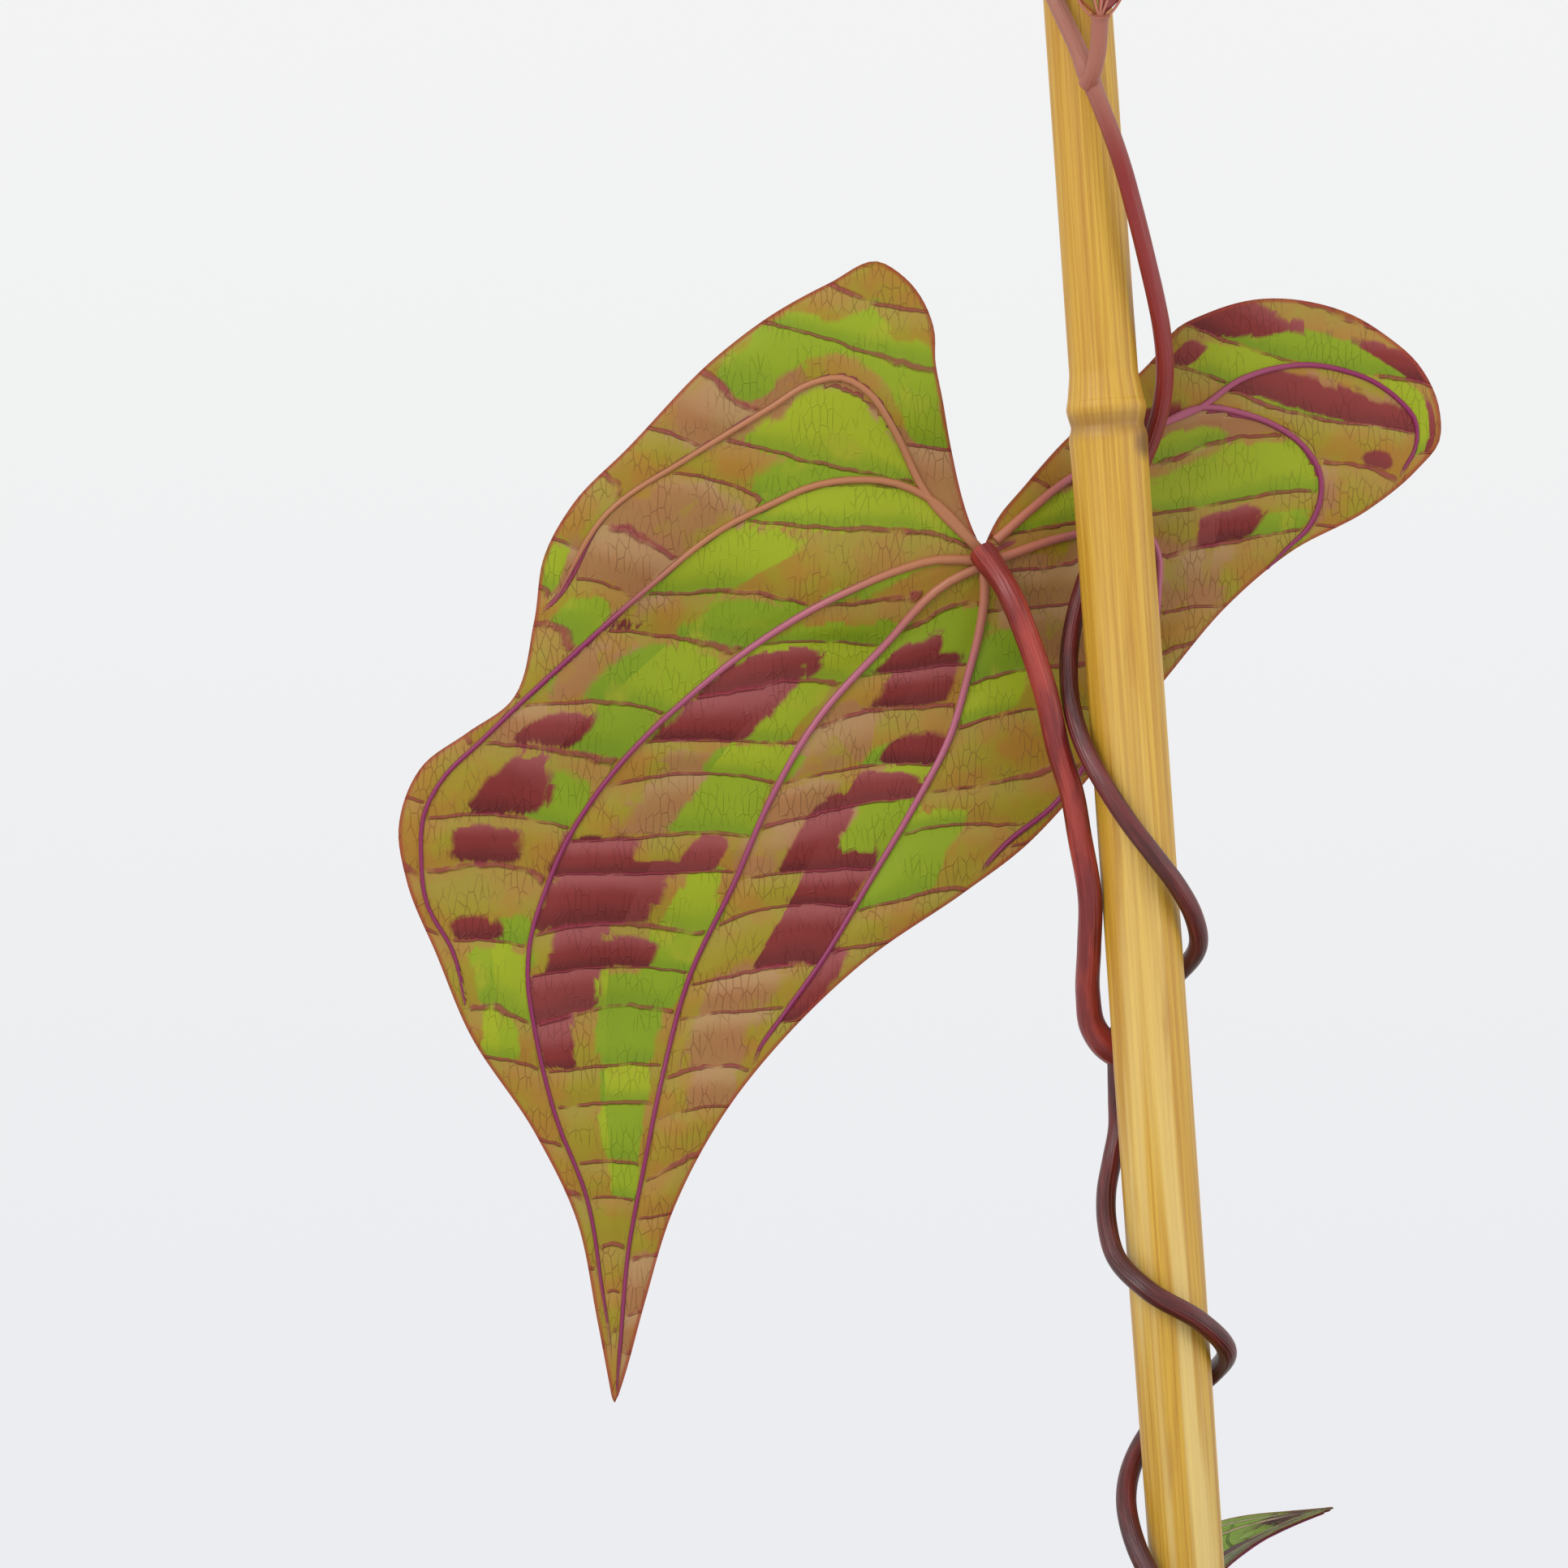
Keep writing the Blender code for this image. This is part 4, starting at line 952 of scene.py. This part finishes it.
def blade_mesh(lines, paces, first, columns, cells, place, upper, veins, ways_out, keel, strips, puff, seed):
    """A leaf blade with the places of its veins and patches, its tissue puffed between the veins.
    Its upper side is the one that its flat outline is seen from, or with upper at -1 the other one."""
    flat = flat_net(lines, paces, columns, cells, first)
    spots = flat.reshape(-1, 2)

    def net(some):
        return vein_net(veins, ways_out, keel, (lines[0], lines[-1]), some)

    among, room, edge = net(spots)
    phase = rung_phase(among, spots, strips)
    if seed:
        cloudy = [clouds(spots, size, seed + 20 * i) for i, size in enumerate((7, 9, 12))]
        maroon, lime, rosy = cloudy[0] * 0.85, cloudy[1], cloudy[2] * 0.8
    else:
        listed = (MAROON_PATCHES, LIME_PATCHES, ROSY_PATCHES)
        maroon, lime, rosy = (blocks(patch, net, strips, spots, among, phase) for patch in listed)
    from_vein = np.abs(among - np.round(among)) * room
    from_rung = np.abs(phase - np.floor(phase) - 0.5) * 2
    middle = place(flat)
    across, down = np.gradient(middle, axis=0), np.gradient(middle, axis=1)
    normal = np.cross(across, -down).reshape(-1, 3) * upper
    normal /= np.linalg.norm(normal, axis=-1, keepdims=True)
    swell = 0.3 + 0.7 * from_rung * from_rung * (3 - 2 * from_rung)
    swell *= 1 - np.exp(-((from_vein / VEIN_DIP) ** 2))
    swell *= np.clip(edge / EDGE_DIP, 0, 1)
    middle = middle.reshape(-1, 3) + normal * (swell * puff * MM)[:, None]
    half = BLADE_THICKNESS / 2 * (0.35 + 0.65 * np.clip(edge / THIN_EDGE, 0, 1))[:, None]
    verts = np.vstack([middle - normal * half, middle + normal * half])
    count = len(middle)
    grid = np.arange(count).reshape(columns + 1, cells + 1)
    corners = (grid[:-1, :-1], grid[:-1, 1:], grid[1:, 1:], grid[1:, :-1])
    quads = np.stack(corners, -1).reshape(-1, 4)[:, ::upper]
    ring = np.concatenate([grid[:, 0], grid[-1, 1:], grid[-2::-1, -1], grid[0, -2:0:-1]])
    after = np.roll(ring, -1)
    rim = np.stack([ring, ring + count, after + count, after], -1)[:, ::upper]
    faces = np.vstack([quads[:, ::-1], quads + count, rim])
    mesh = bpy.data.meshes.new("blade_net")
    mesh.from_pydata(verts.tolist(), [], faces.tolist())
    mesh.materials.append(LEAF_UNDERSIDE)
    mesh.materials.append(LEAF_TOP)
    skins = np.array([0] * len(quads) + [1] * (len(faces) - len(quads)), np.int32)
    mesh.polygons.foreach_set("material_index", skins)
    mesh.shade_smooth()
    fields = {
        "veining": (among, room, phase),
        "spot": (spots[:, 0], spots[:, 1] + seed * 137, edge),
        "mottling": (maroon, lime, rosy),
    }
    for field, parts in fields.items():
        set_vectors(mesh, field, np.vstack([np.column_stack(parts)] * 2))
    return mesh


def leaf_pattern():
    """Masks of a mottled leaf from what its mesh says of its veins: a node group."""
    tree = bpy.data.node_groups.new("leaf_pattern", "ShaderNodeTree")
    among, room, phase = apart(attribute(tree, "veining"))
    right, up, edge = apart(attribute(tree, "spot"))
    maroon, lime, rosy = apart(attribute(tree, "mottling"))
    flat = wire(tree, "ShaderNodeCombineXYZ", {0: right, 1: up})
    far = wire(tree, "ShaderNodeVectorMath", {0: flat}, "Value", operation="LENGTH")
    from_vein = abs((among + 0.5).calc("FRACT") - 0.5) * room
    vein = 1.0 - (from_vein / (far.step(60, 0) * 0.2 + 0.2)).step(0.75, 1.25)
    vein *= edge.step(0.4, 1.6)
    level = phase + grain(flat, 0.45, 2).centred(0.14) + 0.5
    up_cell = level.calc("FRACT")
    from_rung = (0.5 - abs(up_cell - 0.5)) * RUNG_GAP
    rung = from_rung.step(0.24, 0.06) * grain(flat, 0.3, 2).step(0.3, 0.5) * from_vein.step(0.35, 0.75)
    fine = wire(
        tree, "ShaderNodeTexVoronoi", {"Vector": stretched(flat, (1.7, 0.6, 1)), "Scale": 0.8},
        "Distance", feature="DISTANCE_TO_EDGE", voronoi_dimensions="2D",
    )
    fine = fine.step(0.07, 0.0) * grain(flat, 0.25, 2).step(0.4, 0.6)
    small = apart(wire(
        tree, "ShaderNodeTexVoronoi",
        {"Vector": stretched(flat, (1.0, 0.7, 1)), "Scale": 0.55, "Randomness": 0.7},
        "Color", distance="CHEBYCHEV", voronoi_dimensions="2D",
    ))
    cell = wire(tree, "ShaderNodeCombineXYZ", {0: (among * 2.0).calc("FLOOR"), 1: level.calc("FLOOR")})
    big = apart(wire(tree, "ShaderNodeTexWhiteNoise", {"Vector": cell}, "Color"))
    ragged = grain(flat, 0.5, 3).centred(0.45)

    def patchy(field, part, blocky, low, high):
        loose = small[part].centred(1) * blocky + big[part].centred(1) * blocky
        return (field + ragged + loose).step(low, high)

    # Sheen and Shade are painted light: the top of each cell between the cross veins is painted lighter as a
    # highlight, and its bottom darker as shade.
    masks = {
        "Vein": vein, "Rung": rung, "Fine Net": fine, "Maroon": patchy(maroon, 0, 0.30, 0.42, 0.70),
        "Lime": patchy(lime, 1, 0.34, 0.34, 0.62), "Rosy": patchy(rosy, 2, 0.5, 0.35, 0.8),
        "Edge": edge.step(0.55, 0.15), "Relief": rung + fine * 0.3 + vein * 1.6,
        "Cloud": grain(flat, 0.16, 3), "Sheen": up_cell.step(0.45, 0.95),
        "Shade": up_cell.step(0.42, 0.05), "Cell": big[2],
    }
    for name in masks:
        tree.interface.new_socket(name, in_out="OUTPUT", socket_type="NodeSocketFloat")
    node(tree, "NodeGroupOutput", masks)
    return tree


LEAF_PATTERN = leaf_pattern()


def leaf_masks(tree):
    group = node(tree, "ShaderNodeGroup", node_tree=LEAF_PATTERN)
    return {socket.name: Wire(socket) for socket in group.outputs}


def painted(base, mask, *layers):
    """The base with each layer over it: its mask's name, how strongly it shows, and its colour."""
    for name, share, tint in layers:
        base = (mask[name] * share).mix(base, tint)
    return base


# Underside colours. Three are a painted highlight for the top of each cell between the cross veins (the sheen
# tan and the lit rosy and maroon), and three are painted shade for its bottom (the olive shade and the shaded
# lime and maroon).
TAWNY, OLIVE, OLIVE_SHADE = (0.30, 0.145, 0.012), (0.255, 0.20, 0.006), (0.22, 0.11, 0.004)
ROSY_TAN, LIT_ROSY, PAINTED_SHEEN = (0.285, 0.115, 0.05), (0.36, 0.185, 0.10), (0.37, 0.25, 0.10)
LIME, BRIGHT_LIME = (0.165, 0.25, 0.002), (0.27, 0.32, 0.004)
SHADED_LIME, YELLOW_LIME = (0.12, 0.20, 0.002), (0.29, 0.29, 0.01)
MAROON, LIT_MAROON = (0.165, 0.012, 0.010), (0.27, 0.065, 0.065)
SHADED_MAROON, WARM_MAROON = (0.075, 0.002, 0.002), (0.24, 0.045, 0.04)
FINE_VEIN, RUNG_RED = (0.17, 0.05, 0.01), (0.21, 0.014, 0.032)
EDGE_RED, VEIN_RED = (0.26, 0.03, 0.015), (0.24, 0.02, 0.075)


def build_leaf_underside():
    material, tree, skin = new_material("leaf_underside", 0.55, 0.3)
    mask = leaf_masks(tree)
    olive = mask["Cloud"].step(0.38, 0.62).mix(TAWNY, OLIVE)
    # Sheen paints a highlight on the top of each cell and Shade paints shade on its bottom, over the rosy,
    # lime and maroon patches.
    rosy = mask["Sheen"].mix(ROSY_TAN, LIT_ROSY)
    lime = painted(mask["Cell"].mix(LIME, BRIGHT_LIME), mask, ("Shade", 0.6, SHADED_LIME))
    lime = mask["Cloud"].step(0.55, 0.75).mix(lime, YELLOW_LIME)
    maroon = mask["Sheen"].mix(MAROON, LIT_MAROON)
    maroon = painted(maroon, mask, ("Shade", 0.85, SHADED_MAROON), ("Cell", 0.45, WARM_MAROON))
    # Over the olive, Shade and Sheen also paint shade and a highlight on each cell.
    base = painted(
        olive, mask,
        ("Shade", 0.25, OLIVE_SHADE), ("Rosy", 0.75, rosy), ("Sheen", 0.22, PAINTED_SHEEN),
        ("Fine Net", 0.35, FINE_VEIN), ("Lime", 1, lime), ("Maroon", 1, maroon),
        ("Rung", 0.75, RUNG_RED), ("Edge", 0.75, EDGE_RED), ("Vein", 0.9, VEIN_RED),
    )
    dress(skin, Base_Color=base, Normal=bump(mask["Relief"], 0.2 * MM))
    return material


DARK_GREEN, GREEN, TOP_LIME = (0.035, 0.06, 0.008), (0.07, 0.115, 0.012), (0.15, 0.24, 0.02)
TOP_MAROON, TOP_RUNG = (0.055, 0.008, 0.008), (0.03, 0.04, 0.008)
TOP_EDGE, TOP_VEIN = (0.16, 0.02, 0.012), (0.34, 0.26, 0.16)


def build_leaf_top():
    material, tree, skin = new_material("leaf_top", 0.42, 0.45)
    mask = leaf_masks(tree)
    green = mask["Cloud"].step(0.38, 0.62).mix(DARK_GREEN, GREEN)
    base = painted(
        green, mask,
        ("Lime", 1, TOP_LIME), ("Maroon", 1, TOP_MAROON), ("Rung", 0.5, TOP_RUNG),
        ("Edge", 0.6, TOP_EDGE), ("Vein", 1, TOP_VEIN),
    )
    dress(skin, Base_Color=base, Normal=bump(mask["Relief"] * -1.0, 0.25 * MM))
    return material


LEAF_UNDERSIDE = build_leaf_underside()
LEAF_TOP = build_leaf_top()
VEIN_BASE, VEIN_PINK, VEIN_MAGENTA = (0.40, 0.135, 0.085), (0.38, 0.10, 0.16), (0.20, 0.010, 0.075)
VEIN_TAN = (0.36, 0.14, 0.06)


def build_vein_skin():
    """Vein skin: tan pink by the stalk and up on the left lobe, turning magenta along the other veins."""
    material, tree, skin = new_material("vein_skin", 0.42, 0.4)
    far = attribute(tree, "far", "Fac")
    aside, _, height = apart(own_place(tree))
    base = far.step(0.003, 0.018).mix(VEIN_BASE, VEIN_PINK)
    base = far.step(0.018, 0.05).mix(base, VEIN_MAGENTA)
    lobe = height.step(0.262, 0.272) * aside.step(-0.018, -0.026)
    dress(skin, Base_Color=lobe.mix(base, VEIN_TAN))
    return material


VEIN_SKIN = build_vein_skin()
STALK_DARK, STALK_RED, STALK_YOUNG = (0.15, 0.008, 0.008), (0.30, 0.03, 0.02), (0.33, 0.11, 0.07)
STALK_SKIN = build_stem_skin("stalk_skin", STALK_DARK, STALK_RED, STALK_YOUNG)


def vein_mesh(veins, place, upper, thick):
    """The raised long veins on a leaf's underside."""
    lines = []
    for vein in veins:
        flat = smooth_line(vein, np.linspace(0, 1, 60))
        middle = place(flat)
        right = place(flat + (0.05, 0)) - middle
        up = place(flat + (0, 0.05)) - middle
        normal = np.cross(right, up) * upper
        normal /= np.linalg.norm(normal, axis=1)[:, None]
        length = np.concatenate([[0], np.cumsum(np.linalg.norm(np.diff(flat, axis=0), axis=1))])
        radii = np.interp(length, *VEIN_TAPER)
        radii *= np.interp(length[-1] - length, (0, 6), (0.35, 1)) * thick * MM
        sink = BLADE_THICKNESS / 2 + radii * 0.15
        lines.append((middle - normal * sink[:, None], radii))
    return stalks("vein_lines", lines, 10, VEIN_SKIN)


def petiole_mesh(number, places, diameter, swell_at_node, body=0.92):
    """A leaf stalk from its node on the stem through those places, swollen at both ends."""
    knot, out = stem_spot(LEAF_NODES[number] * MM)
    clear = STEM_DIAMETER / 2 + 0.3 * MM
    if number in STALK_SIDES:
        out = pointing(math.radians(STALK_SIDES[number]))
        start = knot + out * (clear + diameter / 2)
        within = (knot + start) / 2 + (0, 0, -0.3 * MM)
        first = [knot + (0, 0, -1.2 * MM), within, start + (0, 0, 1.5 * MM)]
    else:
        start = knot + out * clear
        first = [knot + out * 0.4 * MM, start, start + out * 1.5 * MM]
    share = np.linspace(0, 1, 140)
    points = smooth_line(first + list(places), share)
    swell = body + swell_at_node * np.exp(-((share / 0.09) ** 2))
    swell += 0.16 * np.exp(-(((1 - share) / 0.05) ** 2))
    return stalks("petiole", [(points, diameter / 2 * swell)], 20, STALK_SKIN)


def add_leaf(number, blade, veins, stalk):
    add_piece(f"blade_{number}", blade, "leaf", f"leaf_blade_{number}")
    add_piece(f"veins_{number}", veins, "leaf")
    add_piece(f"stalk_{number}", stalk, "leaf_stalk", f"petiole_{number}")


def add_main_leaf():
    blade = blade_mesh(
        MAIN_LINES, MAIN_PACES, 0.004, *MAIN_NET, main_leaf_place, -1, MAIN_VEINS, MAIN_WAYS_OUT,
        MAIN_VEINS.index(MIDDLE), MAIN_STRIPS, MAIN_PUFF, 0,
    )
    veins = vein_mesh(MAIN_VEINS, main_leaf_place, -1, 1.0)
    places = [np.array(spot) * MM + (0, 0, SOIL_TOP) for spot in MAIN_PETIOLE]
    joint = main_leaf_place(np.array([0.0, 0.0])) - (0, BLADE_THICKNESS / 2 + PETIOLE_DIAMETER * 0.4, 0)
    add_leaf(7, blade, veins, petiole_mesh(7, places + [joint], PETIOLE_DIAMETER, 0.22, 1.02))


def laid(line, side, length):
    """A line of (along, across) on the flat plain leaf of that length, on one of its sides."""
    return tuple((side * v * length, -u * length) for u, v in line)


def add_plain_leaf(number, route, length, heading, slope, bend, tilt, width, fold):
    young = number == YOUNG_LEAF
    base = np.array(route[-1]) * MM + (0, 0, SOIL_TOP)
    place = plain_leaf_place(base, length, heading, slope, bend, tilt, width, fold)
    half, edge = (YOUNG_LINE, YOUNG_EDGE) if young else (HALF_LINE, HALF_EDGE)
    halves = ((edge, -1), (half, -1), (MIDRIB, 1), (half, 1), (edge, 1))
    lines = [laid(line, side, length) for line, side in halves]
    kept = (VEIN_2, VEIN_1) if young else (VEIN_3, VEIN_2, VEIN_1)
    veins = [laid(line, -1, length) for line in kept] + [laid(MIDDLE_VEIN, 1, length)]
    veins += [laid(line, 1, length) for line in kept[::-1]]
    if young:
        veins = [tuple((x * 0.8, y) for x, y in vein) for vein in veins]
    ways_out = [(0, -1.15 * length)] * len(veins)
    strips = ((1.15, 0),) * (len(veins) + 1)
    blade = blade_mesh(
        lines, PLAIN_PACES, 0.01, *PLAIN_NET, place, 1, veins, ways_out, len(kept), strips, PLAIN_PUFF, number
    )
    ribs = vein_mesh(veins, place, 1, 0.3 if young else 0.55 + 0.35 * length / 84)
    turn, climb = math.radians(heading), math.radians(slope)
    ahead, below = pointing(turn, climb), pointing(turn, climb - math.pi / 2)
    small = PETIOLE_DIAMETER * (0.5 + 0.5 * length / 86)
    places = [np.array(spot) * MM + (0, 0, SOIL_TOP) for spot in route[:-1]]
    if young:
        places.append(base + ahead * 0.4 * MM)
    else:
        end = base + below * (BLADE_THICKNESS / 2 + small * 0.4)
        places += [end - ahead * 9 * MM + below * 1.5 * MM, end]
    add_leaf(number, blade, ribs, petiole_mesh(number, places, small, 0.14))


add_main_leaf()
for number, leaf in PLAIN_LEAVES.items():
    add_plain_leaf(number, *leaf)

# --------------------------------------------------------------------------------------------------
# The growing tip: the stem's soft end beyond the cane, closing in a small bud. It
# grows straight on from the stem and is a pinkish tan.

BUD_DARK, BUD_TAN, BUD_YOUNG = (0.2, 0.03, 0.02), (0.3, 0.12, 0.04), (0.34, 0.14, 0.06)
TIP_MOVES = ((0, 0, 0), (-1.6, 0.1, 0.5), (-3.6, 0.3, 1.3), (-6, 0.6, 2.8), (-8, 1, 4.8), (-9.2, 1.4, 7))
TIP_SIZES = (0.72, 0.95, 1.25, 1.15, 0.75, 0.2)  # how thick it is at each of those places for the stem


def build_tip():
    before, stem_end = smooth_line(stem_route(), [0.998, 1.0])
    way = (stem_end - before) / np.linalg.norm(stem_end - before)
    end = stem_end + way * 0.1 * MM
    share = np.linspace(0, 1, 60)
    line = smooth_line([end + np.array(move) * MM for move in TIP_MOVES], share)
    radii = np.interp(share, np.linspace(0, 1, len(TIP_SIZES)), TIP_SIZES) * STEM_DIAMETER / 2
    skin = build_stem_skin("bud_skin", BUD_DARK, BUD_TAN, BUD_YOUNG)
    return stalks("bud_line", [(line, radii)], 20, skin)


add_piece("growing_tip", build_tip(), "stem", "shoot_tip")

# --------------------------------------------------------------------------------------------------
# The setting: a pale floor that fades into a plain pale surround, soft studio light, and the camera
# level with the large leaf.

FLOOR_RADIUS, FADE_FROM, FADE_TO = 1.0, 0.25, 0.9
LIGHT_AIM, LIGHT_SIZE = Vector((0, 0, 0.25)), 0.7
PAPER_BELOW, PAPER_ABOVE = (0.835, 0.84, 0.875), (0.895, 0.90, 0.895)


def build_floor():
    mesh = bpy.data.meshes.new("floor")
    ring = [(FLOOR_RADIUS * math.cos(turn), FLOOR_RADIUS * math.sin(turn), 0) for turn in turns(96)]
    mesh.from_pydata(ring, [], [tuple(range(len(ring)))])
    material, tree, skin = new_material("floor_paper", 0.9, 0.2)
    skin.inputs["Base Color"].default_value = (0.80, 0.80, 0.80, 1.0)
    away = wire(tree, "ShaderNodeVectorMath", {0: own_place(tree)}, "Value", operation="LENGTH")
    clear = wire(tree, "ShaderNodeBsdfTransparent")
    inputs = {0: away.step(FADE_FROM, FADE_TO), 1: Wire(skin.outputs[0]), 2: clear}
    both = wire(tree, "ShaderNodeMixShader", inputs)
    tree.links.new(both.socket, tree.nodes["Material Output"].inputs["Surface"])
    mesh.materials.append(material)
    loose_object("floor", mesh)


def build_surround():
    world = bpy.data.worlds.new("surround")
    bpy.context.scene.world = world
    world.use_nodes = True
    tree = world.node_tree
    up = apart(own_place(tree, "Generated"))[2]
    paper = up.step(-0.2, 0.2).mix(PAPER_BELOW, PAPER_ABOVE)
    tree.links.new(paper.socket, tree.nodes["Background"].inputs["Color"])


def add_light(name, place, watts):
    lamp = bpy.data.lights.new(name, "AREA")
    lamp.size = LIGHT_SIZE
    lamp.energy = watts
    item = loose_object(name, lamp)
    item.location = place
    item.rotation_euler = (LIGHT_AIM - Vector(place)).to_track_quat("-Z", "Y").to_euler()


build_floor()
build_surround()
add_light("key", (-0.7, -0.9, 0.9), 9)
add_light("fill", (0.9, -0.3, 0.4), 2.5)
bpy.context.scene.view_settings.view_transform = "Standard"

camera = bpy.data.cameras.new("camera")
camera.sensor_width = 36
camera.lens = 121.73
viewer = loose_object("camera", camera)
viewer.location = (-0.0435, -0.55, 0.247)
viewer.rotation_euler = (math.radians(90), 0, 0)
bpy.context.scene.camera = viewer
